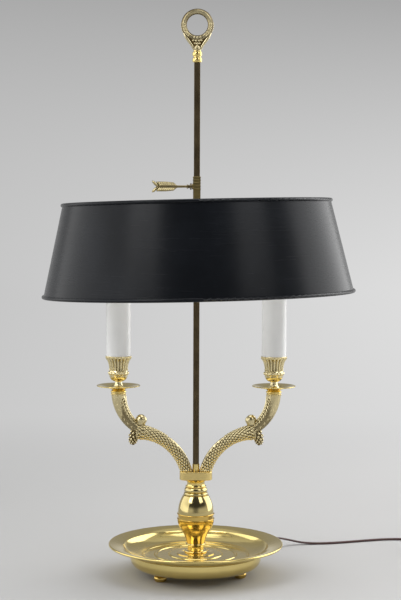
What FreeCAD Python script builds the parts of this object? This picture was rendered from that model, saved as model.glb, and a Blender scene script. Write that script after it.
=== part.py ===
import FreeCAD, Part
import math
import os
import Sketcher
from types import SimpleNamespace
from FreeCAD import Placement, Rotation, Vector

# Bouillotte lamp: a brass dish base with a turned urn, two cast arms with candle sleeves, and a black
# shade that slides on a square stem. Millimetres, +Z up. The origin is where the stem's axis meets
# the surface that the lamp stands on. The arms lie along X and the front faces -Y.

doc = FreeCAD.newDocument("bouillotte_lamp")
sheet = doc.addObject("Spreadsheet::Sheet", "Sizes")
lamp = SimpleNamespace()
nodes = []


# A size carries its value and the formula that the document uses for it
class Dim:
    def __init__(self, value, text=None):
        self.value = float(value)
        self.text = text or f"{float(value):.9g}"

    def join(self, other, sign, value):
        return Dim(value, f"({self.text} {sign} {other.text})")

    def __add__(self, other):
        return self.join(dim(other), "+", self.value + dim(other).value)

    def __sub__(self, other):
        return self.join(dim(other), "-", self.value - dim(other).value)

    def __mul__(self, other):
        return self.join(dim(other), "*", self.value * dim(other).value)

    def __truediv__(self, other):
        return self.join(dim(other), "/", self.value / dim(other).value)

    def __neg__(self):
        return Dim(-self.value, f"(0 - {self.text})")

    def __radd__(self, other):
        return dim(other) + self

    def __rsub__(self, other):
        return dim(other) - self

    def __rmul__(self, other):
        return dim(other) * self


def dim(value):
    return value if isinstance(value, Dim) else Dim(value)


def sine(angle):
    return Dim(math.sin(math.radians(angle.value)), f"sin({angle.text})")


def cosine(angle):
    return Dim(math.cos(math.radians(angle.value)), f"cos({angle.text})")


def distance(du, dv):
    return Dim(math.hypot(du.value, dv.value), f"sqrt({(du * du + dv * dv).text})")


# Writes driving sizes to the sheet, one row each, and keeps them by name
def sizes(**values):
    for name, value in values.items():
        row = len(vars(lamp)) + 1
        sheet.set(f"A{row}", name)
        sheet.set(f"B{row}", str(value))
        sheet.setAlias(f"B{row}", name)
        setattr(lamp, name, Dim(value, f"Sizes.{name}"))


# Running, seating and bore clearances, used wherever one piece fits another
sizes(runClear=0.08, seatClear=0.3, boreClear=0.15, floorClear=0.05)
# Tray and bowl
sizes(footHeight=10.4, trayRadius=109, trayRimHeight=41, trayRimBead=1.6, traySheet=1.2)
sizes(trayFlangeOut=8.5, trayFlangeDrop=2.4, traySeatRise=3.4, trayWallIn=15, trayFloorHeight=26)
sizes(trayCoveRing=3, trayStepRadius=48, trayStepWidth=4, trayBossRadius=31, trayBossRise=1.5)
sizes(bowlRadius=82, bowlCornerRun=12, bowlCornerRise=14, bowlSheet=1.2)
# Feet: three turned buttons with studs and nuts
sizes(footInset=12, footSoleRadius=4.6, footNeckRadius=4.4, footDiscRadius=5.8, footDiscThick=1.4)
sizes(footStudRadius=2, footStudRise=5.4, footNutRadius=4.6, footNutThick=3, footTurn=-18.1)
# Centre pipe that ties the stack, its washer and lock nut, and the weight
sizes(pipeRadius=4.9, pipeBore=3.2, pipeBelow=5.2, pipeInHub=5, weightInset=8, weightThick=8)
sizes(washerRadius=14, washerThick=1.2, pipeNutRadius=9, pipeNutThick=3.6)
# Urn, bottom to top
sizes(urnFootRadius=23.5, urnFootLip=0.8, urnFootFlare=2, urnFootNeck=10, urnFootBead=13.6)
sizes(urnFootBeadThick=1.8, urnFootHeight=10.9)
sizes(baseRingRadius=11.7, baseRingThick=2.2, bellBottomRadius=11.4, bellMiddleRadius=17, bellTopRadius=23.2)
sizes(bellMiddleRise=15, bellHeight=30, bandRadius=22.3, bandRingRadius=22.9, bandRingThick=1.3)
sizes(bandHeight=7.6, eggBaseRadius=22.3, eggTopRadius=16.1, eggHeight=22.6)
sizes(neckRingRadius=14.4, neckRingThick=3.6, neckBeadBase=13.4, neckBeadTop=12, neckBeadHeight=7)
sizes(coveRingRadius=12.6, coveRingThick=1.4, coveBaseRadius=11.6, coveTopRadius=13.6, coveHeight=7.9)
# Hub block and arms
sizes(hubLength=40.6, hubDepth=24, hubHeight=10.2, hubCorner=9, hubEdge=0.8)
sizes(armRootOut=12.2, armReach=96.5, armTop=228, armTenonRadius=2.6, armTenonLength=7)
sizes(hornLean=75, hornTurn=66, hornSize=66.5, hornRootRadius=6.9, hornMidRadius=7, hornEndRadius=8.4)
sizes(stalkTurn=62, stalkSize=52.5, stalkRootRadius=6, stalkTopRadius=9, huskOut=3.2, huskDrop=1.6)
# Candle: ferrule, drip pan, cup, sleeve, lamp holder and bulb
sizes(ferruleHeight=5, ferruleRingRadius=9.2, ferruleTopRadius=7.6, panRadius=27.2, panSheet=1.2)
sizes(panDish=4.2, panSeatRadius=8.8, cupHeight=40.8, cupBaseRadius=8.6, cupNeckRadius=4.4)
sizes(cupNeckRise=7.6, cupBulgeRadius=11.9, cupBulgeRise=17.2, cupWaistRadius=11, cupWaistRise=26.6)
sizes(cupRimRadius=16.2, cupRimHeight=5.2, cupRecess=2.2)
sizes(sleeveRadius=15.2, sleeveWall=1, sleeveLength=100, nippleRadius=3.2, nippleBore=2)
sizes(nippleInArm=8, nippleAboveCup=45, nippleInHolder=8, holderRadius=11, holderBoss=7.5)
sizes(holderBossRise=10, holderLength=59, shellRadius=6.6, shellWall=0.5, shellLength=25)
sizes(bulbCapRadius=5.95, bulbCapLength=21, bulbNeckRadius=7.2, bulbRadius=17.5, bulbBellyRise=27)
sizes(bulbShoulderRadius=5, bulbShoulderRise=66, bulbLength=76, bulbTipRadius=0.6,
      bulbGlass=0.8)
# Stem, collar and finial
sizes(stemWidth=7.6, stemEdge=0.4, stemTenonRadius=2.9, stemInHub=4.8, collarRadius=4.4, collarHeight=9)
sizes(finialHeight=65.4, finialTenonRadius=2.4, finialTenonLength=8, ferruleBeadRadius=5.2)
sizes(ferruleBeadHeight=5.8, ferruleStep=1.4, finialStudLength=4.5, lampHeight=702)
sizes(ringMeanRadius=16.35, ringBarRadius=3.5, finialNeckRadius=4.5, crownWidth=14.4, crownThick=3.3)
# Slider, its nut and its arrow key
sizes(sliderTop=497, sliderWall=0.75, sliderRibOut=0.4, sliderRibThick=1.7, sliderRibStep=3.6)
sizes(threadRadius=6.6, flangeRadius=9.6, flangeThick=2.2, sliderNutRadius=9.4, sliderNutThick=6.5)
sizes(keyHeight=484.7, keyBossRadius=3.3, keyBossLength=1.6, keyPinRadius=1.5, keyDiscRadius=4.1)
sizes(keyDiscThick=1.8, keySpoolEnd=13, keyShaftRadius=1.5, keyShaftEnd=25.5)
sizes(keyFeatherEnd=45.5, keyFeatherHalf=6.2, keyTailEnd=57.3, keyTailHalf=7, keyNotch=48.8, keyThick=3.4)
# Shade and its spider. The shade hangs a little askew: roll lifts its right, pitch its front.
sizes(shadeBottomRadius=193.4, shadeTopRadius=167.4, shadeTopHeight=467, shadeDrop=116.3)
sizes(shadeSheet=0.8, shadeBeadRadius=2.3, shadeRoll=1.45, shadePitch=1.35)
sizes(spiderHeight=459, spiderRingRadius=11, spiderRingThick=2.4, spiderArmRadius=2, spiderSlack=0.6)
# Cord, strain relief, switch and plug
sizes(cordRadius=2.65, outletHeight=19, outletTurn=55.7, reliefRadius=4, reliefFlangeRadius=4.8)
sizes(reliefTail=16, reliefFlangeThick=2, reliefGap=0.2, reliefCollarRadius=5.4, reliefLength=20)
sizes(reliefTipRadius=3.3, coilPitch=5.9, coilRadius=38, coilRunOut=23)
sizes(switchLength=48, switchWidth=22, switchHeight=15, wheelRadius=8.2, wheelThick=5, wheelOut=5)
sizes(wheelPinRadius=1.5, wheelNotchRadius=0.8, plugLength=27, plugWidth=25, plugHeight=17)
sizes(plugGripLength=15, plugGripRadius=5, bladeLength=17.5, bladeWidth=6.3, bladeThick=1.5, bladeGap=12.7)

# Heights of the stack on the axis, each worked out from the piece below
pipeHole = lamp.pipeRadius + lamp.boreClear
trayUnder = lamp.trayFloorHeight - lamp.traySheet
traySeat = lamp.trayFloorHeight + lamp.traySeatRise
flangeFoot = lamp.trayRimHeight - lamp.trayRimBead - lamp.trayFlangeDrop
bowlFloor = lamp.footHeight + lamp.bowlSheet
urnBase = lamp.trayFloorHeight + lamp.trayBossRise
baseRingBase = urnBase + lamp.urnFootHeight
bellBase = baseRingBase + lamp.baseRingThick
bandBase = bellBase + lamp.bellHeight
eggBase = bandBase + lamp.bandHeight
neckBase = eggBase + lamp.eggHeight
coveBase = neckBase + lamp.neckRingThick + lamp.neckBeadHeight
hubBase = coveBase + lamp.coveRingThick + lamp.coveHeight
hubTop = hubBase + lamp.hubHeight
stemBase = hubTop + lamp.collarHeight
panBase = lamp.armTop + lamp.ferruleHeight
cupBase = panBase + lamp.panSheet
cupTop = cupBase + lamp.cupHeight
sleeveBase = cupTop - lamp.cupRecess
nippleTop = cupTop + lamp.nippleAboveCup
holderBase = nippleTop - lamp.nippleInHolder
holderTop = holderBase + lamp.holderLength
stemTop = lamp.lampHeight - lamp.finialHeight
cordHeight = lamp.cordRadius + lamp.floorClear
# The slider's square sleeve follows the stem that it slides on
sliderWidth = lamp.stemWidth + 2 * lamp.sliderWall
sliderRibWidth = sliderWidth + 2 * lamp.sliderRibOut
# Radii of the base that follow the bowl's
bowlFlat = lamp.bowlRadius - lamp.bowlCornerRun
footCircle = bowlFlat - lamp.footInset
reliefSeat = lamp.bowlRadius + lamp.reliefGap


# Bodies, sketches and features
def originPart(body, role):
    return next(part for part in body.Origin.OriginFeatures if part.Role == role)


def setPlace(thing, place, rotation):
    place = [dim(p) for p in place]
    thing.Placement = Placement(Vector(*[p.value for p in place]), rotation or Rotation())
    for axis, p in zip("xyz", place, strict=True):
        thing.setExpression(f"Placement.Base.{axis}", p.text)


def newBody(label, place=(0, 0, 0), rotation=None):
    body = doc.addObject("PartDesign::Body", label)
    body.Label = label
    setPlace(body, place, rotation)
    nodes.append(body)
    return body


def newSketch(body, name, plane="XZ_Plane", offset=(0, 0, 0), rotation=None):
    sketch = body.newObject("Sketcher::SketchObject", name)
    sketch.AttachmentSupport = (originPart(body, plane), [""])
    sketch.MapMode = "FlatFace"
    offset = [dim(p) for p in offset]
    sketch.AttachmentOffset = Placement(Vector(*[p.value for p in offset]), rotation or Rotation())
    for axis, p in zip("xyz", offset, strict=True):
        sketch.setExpression(f".AttachmentOffset.Base.{axis}", p.text)
    return sketch


def bind(sketch, kind, size, *where):
    at = sketch.addConstraint(Sketcher.Constraint(kind, *where, size.value))
    sketch.setExpression(f"Constraints[{at}]", size.text)


# Ties one coordinate of a sketch point to a size, measured from the sketch's origin
def bindCoordinate(sketch, kind, geometry, point, size):
    if abs(size.value) < 1e-9:
        axis = -2 if kind == "DistanceX" else -1
        sketch.addConstraint(Sketcher.Constraint("PointOnObject", geometry, point, axis))
    elif size.value > 0:
        bind(sketch, kind, size, -1, 1, geometry, point)
    else:
        bind(sketch, kind, -size, geometry, point, -1, 1)


def addCircle(sketch, radius, u=0, v=0):
    radius, u, v = dim(radius), dim(u), dim(v)
    centre = Vector(u.value, v.value, 0)
    at = sketch.addGeometry(Part.Circle(centre, Vector(0, 0, 1), radius.value), False)
    bindCoordinate(sketch, "DistanceX", at, 3, u)
    bindCoordinate(sketch, "DistanceY", at, 3, v)
    bind(sketch, "Radius", radius, at)


# The arc from start to end whose rise is bulge half-chords, to the left of its way when positive
def bulgedArc(start, end, bulge):
    a, b = (Vector(p[0].value, p[1].value, 0) for p in (start, end))
    chord = distance(end[0] - start[0], end[1] - start[1])
    radius = chord * ((1 + bulge * bulge) / (4 * abs(bulge)))
    left = Vector(a.y - b.y, b.x - a.x, 0).normalize()
    rise = bulge * chord.value / 2
    centre = (a + b) * 0.5 + left * (rise - math.copysign(radius.value, bulge))
    low, high = (b, a) if bulge > 0 else (a, b)
    angles = [math.atan2(p.y - centre.y, p.x - centre.x) for p in (low, high)]
    return Part.ArcOfCircle(Part.Circle(centre, Vector(0, 0, 1), radius.value), *angles), radius


# A closed outline through points (u, v), or (u, v, bulge) where an arc leads to the point
def addOutline(sketch, points):
    points = [[dim(p[0]), dim(p[1]), *p[2:]] for p in points]
    lines = []
    for start, end in zip(points, points[1:] + points[:1], strict=True):
        if len(end) == 2:
            a, b = (Vector(p[0].value, p[1].value, 0) for p in (start, end))
            at = sketch.addGeometry(Part.LineSegment(a, b), False)
            lines.append((at, 1, 2))
        else:
            arc, radius = bulgedArc(start, end, end[2])
            at = sketch.addGeometry(arc, False)
            lines.append((at, 2, 1) if end[2] > 0 else (at, 1, 2))
            bind(sketch, "Radius", radius, at)
    for k, (at, first, last) in enumerate(lines):
        bindCoordinate(sketch, "DistanceX", at, first, points[k][0])
        bindCoordinate(sketch, "DistanceY", at, first, points[k][1])
        after = lines[(k + 1) % len(lines)]
        sketch.addConstraint(Sketcher.Constraint("Coincident", at, last, after[0], after[1]))


def addRectangle(sketch, u0, v0, u1, v1):
    addOutline(sketch, [(u0, v0), (u1, v0), (u1, v1), (u0, v1)])


def revolve(body, points, name="turning", axis="V_Axis"):
    sketch = newSketch(body, f"{name}_outline")
    addOutline(sketch, points)
    feature = body.newObject("PartDesign::Revolution", name)
    feature.Profile = sketch
    feature.ReferenceAxis = (sketch, [axis])
    feature.Angle = 360
    return feature


def turned(label, points, place=(0, 0, 0), rotation=None, axis="V_Axis"):
    body = newBody(label, place, rotation)
    revolve(body, points, axis=axis)
    return body


# Pads or pockets a sketch, and for a pocket checks that it took material away
def extrude(body, sketch, length, name, cut=False, both=False, flip=False):
    doc.recompute()
    before = body.Shape.Volume if cut else 0
    feature = body.newObject("PartDesign::Pocket" if cut else "PartDesign::Pad", name)
    feature.Profile = sketch
    feature.setExpression("Length", dim(length).text)
    feature.Midplane = both
    feature.Reversed = flip
    doc.recompute()
    if cut and body.Shape.Volume > before - 1e-3:
        raise RuntimeError(f"{body.Label}: {name} cuts nothing")
    return feature


def drill(body, name, radius, depth, plane="XY_Plane", offset=(0, 0, 0), u=0, v=0, rotation=None, flip=False):
    sketch = newSketch(body, f"{name}_outline", plane, offset, rotation)
    addCircle(sketch, radius, u, v)
    return extrude(body, sketch, depth, name, cut=True, flip=flip)


def around(body, feature, count, name):
    pattern = body.newObject("PartDesign::PolarPattern", name)
    pattern.Originals = [feature]
    pattern.Axis = (originPart(body, "Z_Axis"), [""])
    pattern.Angle = 360
    pattern.Occurrences = count
    body.Tip = pattern


def loft(body, sections, name):
    feature = body.newObject("PartDesign::AdditiveLoft", name)
    feature.Profile = sections[0]
    feature.Sections = sections[1:]


def edgesAlong(feature, direction, longer=0):
    found = []
    for k, edge in enumerate(feature.Shape.Edges):
        straight = edge.Curve.TypeId == "Part::GeomLine" and edge.Length > longer
        if straight and abs(edge.tangentAt(edge.FirstParameter).dot(direction)) > 0.99:
            found.append(f"Edge{k + 1}")
    return found


def soften(body, feature, edges, size, name, kind="Fillet"):
    finish = body.newObject(f"PartDesign::{kind}", name)
    finish.Base = (feature, edges)
    finish.setExpression("Radius" if kind == "Fillet" else "Size", dim(size).text)
    doc.recompute()
    return finish


# Tray: a spun dish with a rolled rim and a flange, a wall that sits on the bowl's edge on its way down,
# a ring at the wall's foot, a step ring on the floor and a raised seat for the urn
def makeTray():
    edge = lamp.trayRadius - lamp.trayRimBead
    middle = lamp.trayRimHeight - lamp.trayRimBead
    step = lamp.trayStepRadius + lamp.trayStepWidth
    flange = lamp.bowlRadius + lamp.trayFlangeOut
    wallFoot = lamp.bowlRadius - lamp.trayWallIn
    sheet = lamp.traySheet
    turned("tray", [
        (pipeHole, urnBase),
        (lamp.trayBossRadius, urnBase),
        (lamp.trayBossRadius + 3, lamp.trayFloorHeight, 0.3),
        (lamp.trayStepRadius, lamp.trayFloorHeight),
        (step, lamp.trayFloorHeight, 0.6),
        (wallFoot - lamp.trayCoveRing, lamp.trayFloorHeight),
        (wallFoot, lamp.trayFloorHeight, 0.45),
        (lamp.bowlRadius, traySeat, -0.1),
        (flange, flangeFoot, -0.2),
        (edge, middle + lamp.trayRimBead, 0.07),
        (lamp.trayRadius, middle, 0.414),
        (edge, middle - lamp.trayRimBead, 0.414),
        (flange + sheet * 0.3, flangeFoot - sheet, -0.07),
        (lamp.bowlRadius + sheet * 0.45, traySeat - sheet * 0.95, 0.2),
        (wallFoot, trayUnder, 0.1),
        (pipeHole, trayUnder),
    ])


# Bowl: the spun pan under the tray, with holes for the pipe, the feet and the cord
def makeBowl():
    top = traySeat - lamp.traySheet * 1.2 - lamp.runClear
    corner = lamp.footHeight + lamp.bowlCornerRise
    body = turned("base_bowl", [
        (pipeHole, lamp.footHeight),
        (bowlFlat, lamp.footHeight),
        (lamp.bowlRadius, corner, -0.4),
        (lamp.bowlRadius, top),
        (lamp.bowlRadius - lamp.bowlSheet, top - lamp.bowlSheet),
        (lamp.bowlRadius - lamp.bowlSheet, corner),
        (bowlFlat, bowlFloor, 0.4),
        (pipeHole, bowlFloor),
    ])
    out = footCircle * cosine(lamp.footTurn)
    side = footCircle * sine(lamp.footTurn)
    stud = lamp.footStudRadius + lamp.boreClear
    hole = drill(body, "foot_hole", stud, bowlFloor + 1, u=out, v=side, flip=True)
    around(body, hole, 3, "foot_holes")
    outward = Rotation(Vector(0, 0, 1), lamp.outletTurn.value) * Rotation(Vector(1, 1, 1), 120)
    offset = (0, 0, lamp.outletHeight)
    radius = lamp.reliefRadius + lamp.boreClear
    drill(body, "cord_hole", radius, lamp.bowlRadius * 1.2, offset=offset, rotation=outward, flip=True)


# Feet: turned buttons, each with a stud that a nut holds inside the bowl
def makeFeet():
    neck = lamp.footHeight - lamp.footDiscThick
    stud = lamp.footHeight + lamp.footStudRise
    outline = [
        (0, 0),
        (lamp.footSoleRadius, 0),
        (lamp.footNeckRadius, neck, -0.8),
        (lamp.footDiscRadius, neck),
        (lamp.footDiscRadius, lamp.footHeight),
        (lamp.footStudRadius, lamp.footHeight),
        (lamp.footStudRadius, stud),
        (0, stud),
    ]
    nuts = []
    for k, name in enumerate(["foot_right", "foot_back", "foot_left"]):
        turn = lamp.footTurn + 120 * k
        out, side = footCircle * cosine(turn), footCircle * sine(turn)
        turned(name, outline, (out, side, 0))
        nuts.append(hexNut(f"foot_nut_{k + 1}", lamp.footNutRadius, lamp.footStudRadius + lamp.boreClear,
                           lamp.footNutThick, (out, side, bowlFloor)))
    group = doc.addObject("Part::Compound", "foot_nuts")
    group.Links = nuts
    group.Label = "foot_nuts"
    nodes.append(group)


def hexNut(name, radius, bore, thick, place):
    blank = doc.addObject("Part::Prism", f"{name}_blank")
    blank.Polygon = 6
    blank.setExpression("Circumradius", radius.text)
    blank.setExpression("Height", thick.text)
    hole = doc.addObject("Part::Cylinder", f"{name}_hole")
    hole.setExpression("Radius", bore.text)
    hole.setExpression("Height", thick.text)
    nut = doc.addObject("Part::Cut", name)
    nut.Base = blank
    nut.Tool = hole
    setPlace(nut, place, None)
    return nut


# Centre pipe with its washer and lock nut, and the cast weight inside the bowl
def makePipe():
    low = lamp.footHeight - lamp.pipeBelow
    high = hubBase + lamp.pipeInHub
    turned("centre_pipe", [
        (lamp.pipeBore, low), (lamp.pipeRadius, low), (lamp.pipeRadius, high), (lamp.pipeBore, high),
    ])
    turned("pipe_washer", [
        (pipeHole, 0), (lamp.washerRadius, 0), (lamp.washerRadius, lamp.washerThick),
        (pipeHole, lamp.washerThick),
    ], (0, 0, lamp.footHeight - lamp.washerThick))
    under = lamp.footHeight - lamp.washerThick - lamp.pipeNutThick
    nut = hexNut("pipe_nut", lamp.pipeNutRadius, pipeHole, lamp.pipeNutThick, (0, 0, under))
    nut.Label = "pipe_nut"
    nodes.append(nut)
    radius = footCircle - lamp.weightInset
    turned("base_weight", [
        (pipeHole + 2, 0), (radius, 0), (radius, lamp.weightThick - 2), (radius - 2, lamp.weightThick),
        (pipeHole + 2, lamp.weightThick),
    ], (0, 0, bowlFloor))


# One turned piece of the stack: bored for the pipe, with the outer side given from bottom to top
def stacked(label, base, side, bore=pipeHole):
    points = [(bore, side[0][1]), *side, (bore, side[-1][1])]
    return turned(label, points, (0, 0, base))


def makeUrn():
    beadTop = lamp.urnFootFlare + lamp.urnFootBeadThick
    stacked("urn_foot", urnBase, [
        (lamp.urnFootRadius, 0),
        (lamp.urnFootRadius, lamp.urnFootLip),
        (lamp.urnFootBead, lamp.urnFootFlare, 0.06),
        (lamp.urnFootBead, beadTop, -0.8),
        (lamp.urnFootNeck, beadTop + 0.8, 0.3),
        (lamp.urnFootNeck, lamp.urnFootHeight, 0.06),
    ])
    stacked("urn_base_ring", baseRingBase, [
        (lamp.baseRingRadius, 0),
        (lamp.baseRingRadius, lamp.baseRingThick, -0.8),
    ])
    stacked("urn_lower", bellBase, [
        (lamp.bellBottomRadius, 0),
        (lamp.bellMiddleRadius, lamp.bellMiddleRise, 0.1),
        (lamp.bellTopRadius, lamp.bellHeight, -0.14),
    ])
    ring = lamp.bandRingThick
    stacked("urn_band", bandBase, [
        (lamp.bandRingRadius, 0),
        (lamp.bandRingRadius, ring, -0.8),
        (lamp.bandRadius, ring),
        (lamp.bandRadius, lamp.bandHeight - ring),
        (lamp.bandRingRadius, lamp.bandHeight - ring),
        (lamp.bandRingRadius, lamp.bandHeight, -0.8),
    ])
    stacked("urn_upper", eggBase, [
        (lamp.eggBaseRadius, 0),
        (lamp.eggTopRadius, lamp.eggHeight, -0.14),
    ])
    stacked("neck_bead", neckBase, [
        (lamp.neckRingRadius, 0),
        (lamp.neckRingRadius, lamp.neckRingThick, -0.4),
        (lamp.neckBeadBase, lamp.neckRingThick),
        (lamp.neckBeadTop, lamp.neckRingThick + lamp.neckBeadHeight, -0.45),
    ])
    stacked("hub_neck", coveBase, [
        (lamp.coveRingRadius, 0),
        (lamp.coveRingRadius, lamp.coveRingThick, -0.8),
        (lamp.coveBaseRadius, lamp.coveRingThick),
        (lamp.coveTopRadius, lamp.coveRingThick + lamp.coveHeight, 0.35),
    ])


# Hub block: takes the pipe from below, the stem's tenon and the two arms' tenons from above
def makeHub():
    body = newBody("arm_hub", (0, 0, hubBase))
    sketch = newSketch(body, "block_outline", "XY_Plane")
    length, depth = lamp.hubLength / 2, lamp.hubDepth / 2
    addRectangle(sketch, -length, -depth, length, depth)
    block = extrude(body, sketch, lamp.hubHeight, "block")
    round1 = soften(body, block, edgesAlong(block, Vector(0, 0, 1)), lamp.hubCorner, "rounded_ends")
    flat = [f"Edge{k + 1}" for k, e in enumerate(round1.Shape.Edges)
            if abs(e.BoundBox.ZMax - e.BoundBox.ZMin) < 1e-6]
    soften(body, round1, flat, lamp.hubEdge, "edge_break")
    drill(body, "pipe_hole", pipeHole, lamp.pipeInHub + 0.2, flip=True)
    top = (0, 0, lamp.hubHeight)
    drill(body, "stem_hole", lamp.stemTenonRadius + lamp.boreClear, lamp.hubHeight, offset=top)
    for side, name in ((1, "right_arm_hole"), (-1, "left_arm_hole")):
        radius, depth = lamp.armTenonRadius + lamp.boreClear, lamp.armTenonLength + 0.3
        drill(body, name, radius, depth, offset=top, u=lamp.armRootOut * side)


# One round section of an arm: its centre out along X and up, its radius and its heading from level
def station(body, name, out, up, radius, heading):
    tilt = Rotation(Vector(1, 0, 0), -dim(heading).value)
    sketch = newSketch(body, name, "YZ_Plane", (0, up, out), tilt)
    addCircle(sketch, radius)
    return sketch


# The husk's curl and hooked tip: stations out and up from the stalk's root, with radius and heading
curlStations = [(0.5, 4, 6.5, 85), (0.6, 9.5, 5.9, 95), (-0.8, 13.2, 5.1, 120), (-3, 15.2, 3.9, 160)]
tipStations = [(2, 0, 6.4, -25), (6.5, -4.5, 5.2, -60), (8.9, -10.5, 4.3, -85), (8.6, -15.6, 3.4, -97)]


# Arm: a horn that bends out from the hub and ends in a husk with a curl and a hooked tip, and a stalk
# that rises out of the husk's mouth and widens to carry the candle
def makeArm(label, turn):
    body = newBody(label, rotation=Rotation(Vector(0, 0, 1), turn))
    hornRadii = [lamp.hornRootRadius, (lamp.hornRootRadius + lamp.hornMidRadius) / 2, lamp.hornMidRadius,
                 lamp.hornMidRadius * 0.7 + lamp.hornEndRadius * 0.3, lamp.hornEndRadius]
    horn = [station(body, "horn_0", lamp.armRootOut, hubTop, hornRadii[0], 90)]
    for k in range(1, 5):
        heading = lamp.hornLean - lamp.hornTurn * (k / 4)
        out = lamp.armRootOut + lamp.hornSize * (sine(lamp.hornLean) - sine(heading))
        up = hubTop + lamp.hornSize * (cosine(heading) - cosine(lamp.hornLean))
        horn.append(station(body, f"horn_{k}", out, up, hornRadii[k], heading))
    loft(body, horn, "horn")
    stalk = []
    for k in range(5):
        heading = 90 - lamp.stalkTurn * (1 - k / 4)
        out = lamp.armReach - lamp.stalkSize * (1 - sine(heading))
        up = lamp.armTop - lamp.stalkSize * cosine(heading)
        radius = lamp.stalkRootRadius + (lamp.stalkTopRadius - lamp.stalkRootRadius) * (k / 4)
        stalk.append(station(body, f"stalk_{k}", out, up, radius, heading))
        if k == 0:
            root = (out, up)
    loft(body, stalk, "stalk")
    heading = lamp.hornLean - lamp.hornTurn
    out = lamp.armRootOut + lamp.hornSize * (sine(lamp.hornLean) - sine(heading))
    up = hubTop + lamp.hornSize * (cosine(heading) - cosine(lamp.hornLean))
    radius = lamp.hornEndRadius
    throat = station(body, "husk_0", out, up, radius, heading)
    mouth = station(body, "husk_1", root[0] + lamp.huskOut, root[1] - lamp.huskDrop, radius, heading)
    loft(body, [throat, mouth], "husk")
    for name, stations in (("curl", curlStations), ("tip", tipStations)):
        row = [station(body, f"{name}_{k}", root[0] + out, root[1] + up, radius, heading)
               for k, (out, up, radius, heading) in enumerate(stations)]
        loft(body, row, name)
        out, up, radius, _ = stations[-1]
        ball = body.newObject("PartDesign::AdditiveSphere", f"{name}_end")
        ball.Radius = radius
        ball.Placement = Placement(Vector(root[0].value + out, 0, root[1].value + up), Rotation())
    tenon = newSketch(body, "tenon_outline", "XY_Plane", (0, 0, hubTop))
    addCircle(tenon, lamp.armTenonRadius, lamp.armRootOut)
    extrude(body, tenon, lamp.armTenonLength, "tenon", flip=True)
    hole, depth = lamp.nippleRadius + lamp.boreClear, lamp.nippleInArm + 0.5
    drill(body, "nipple_hole", hole, depth, offset=(0, 0, lamp.armTop), u=lamp.armReach)


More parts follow.
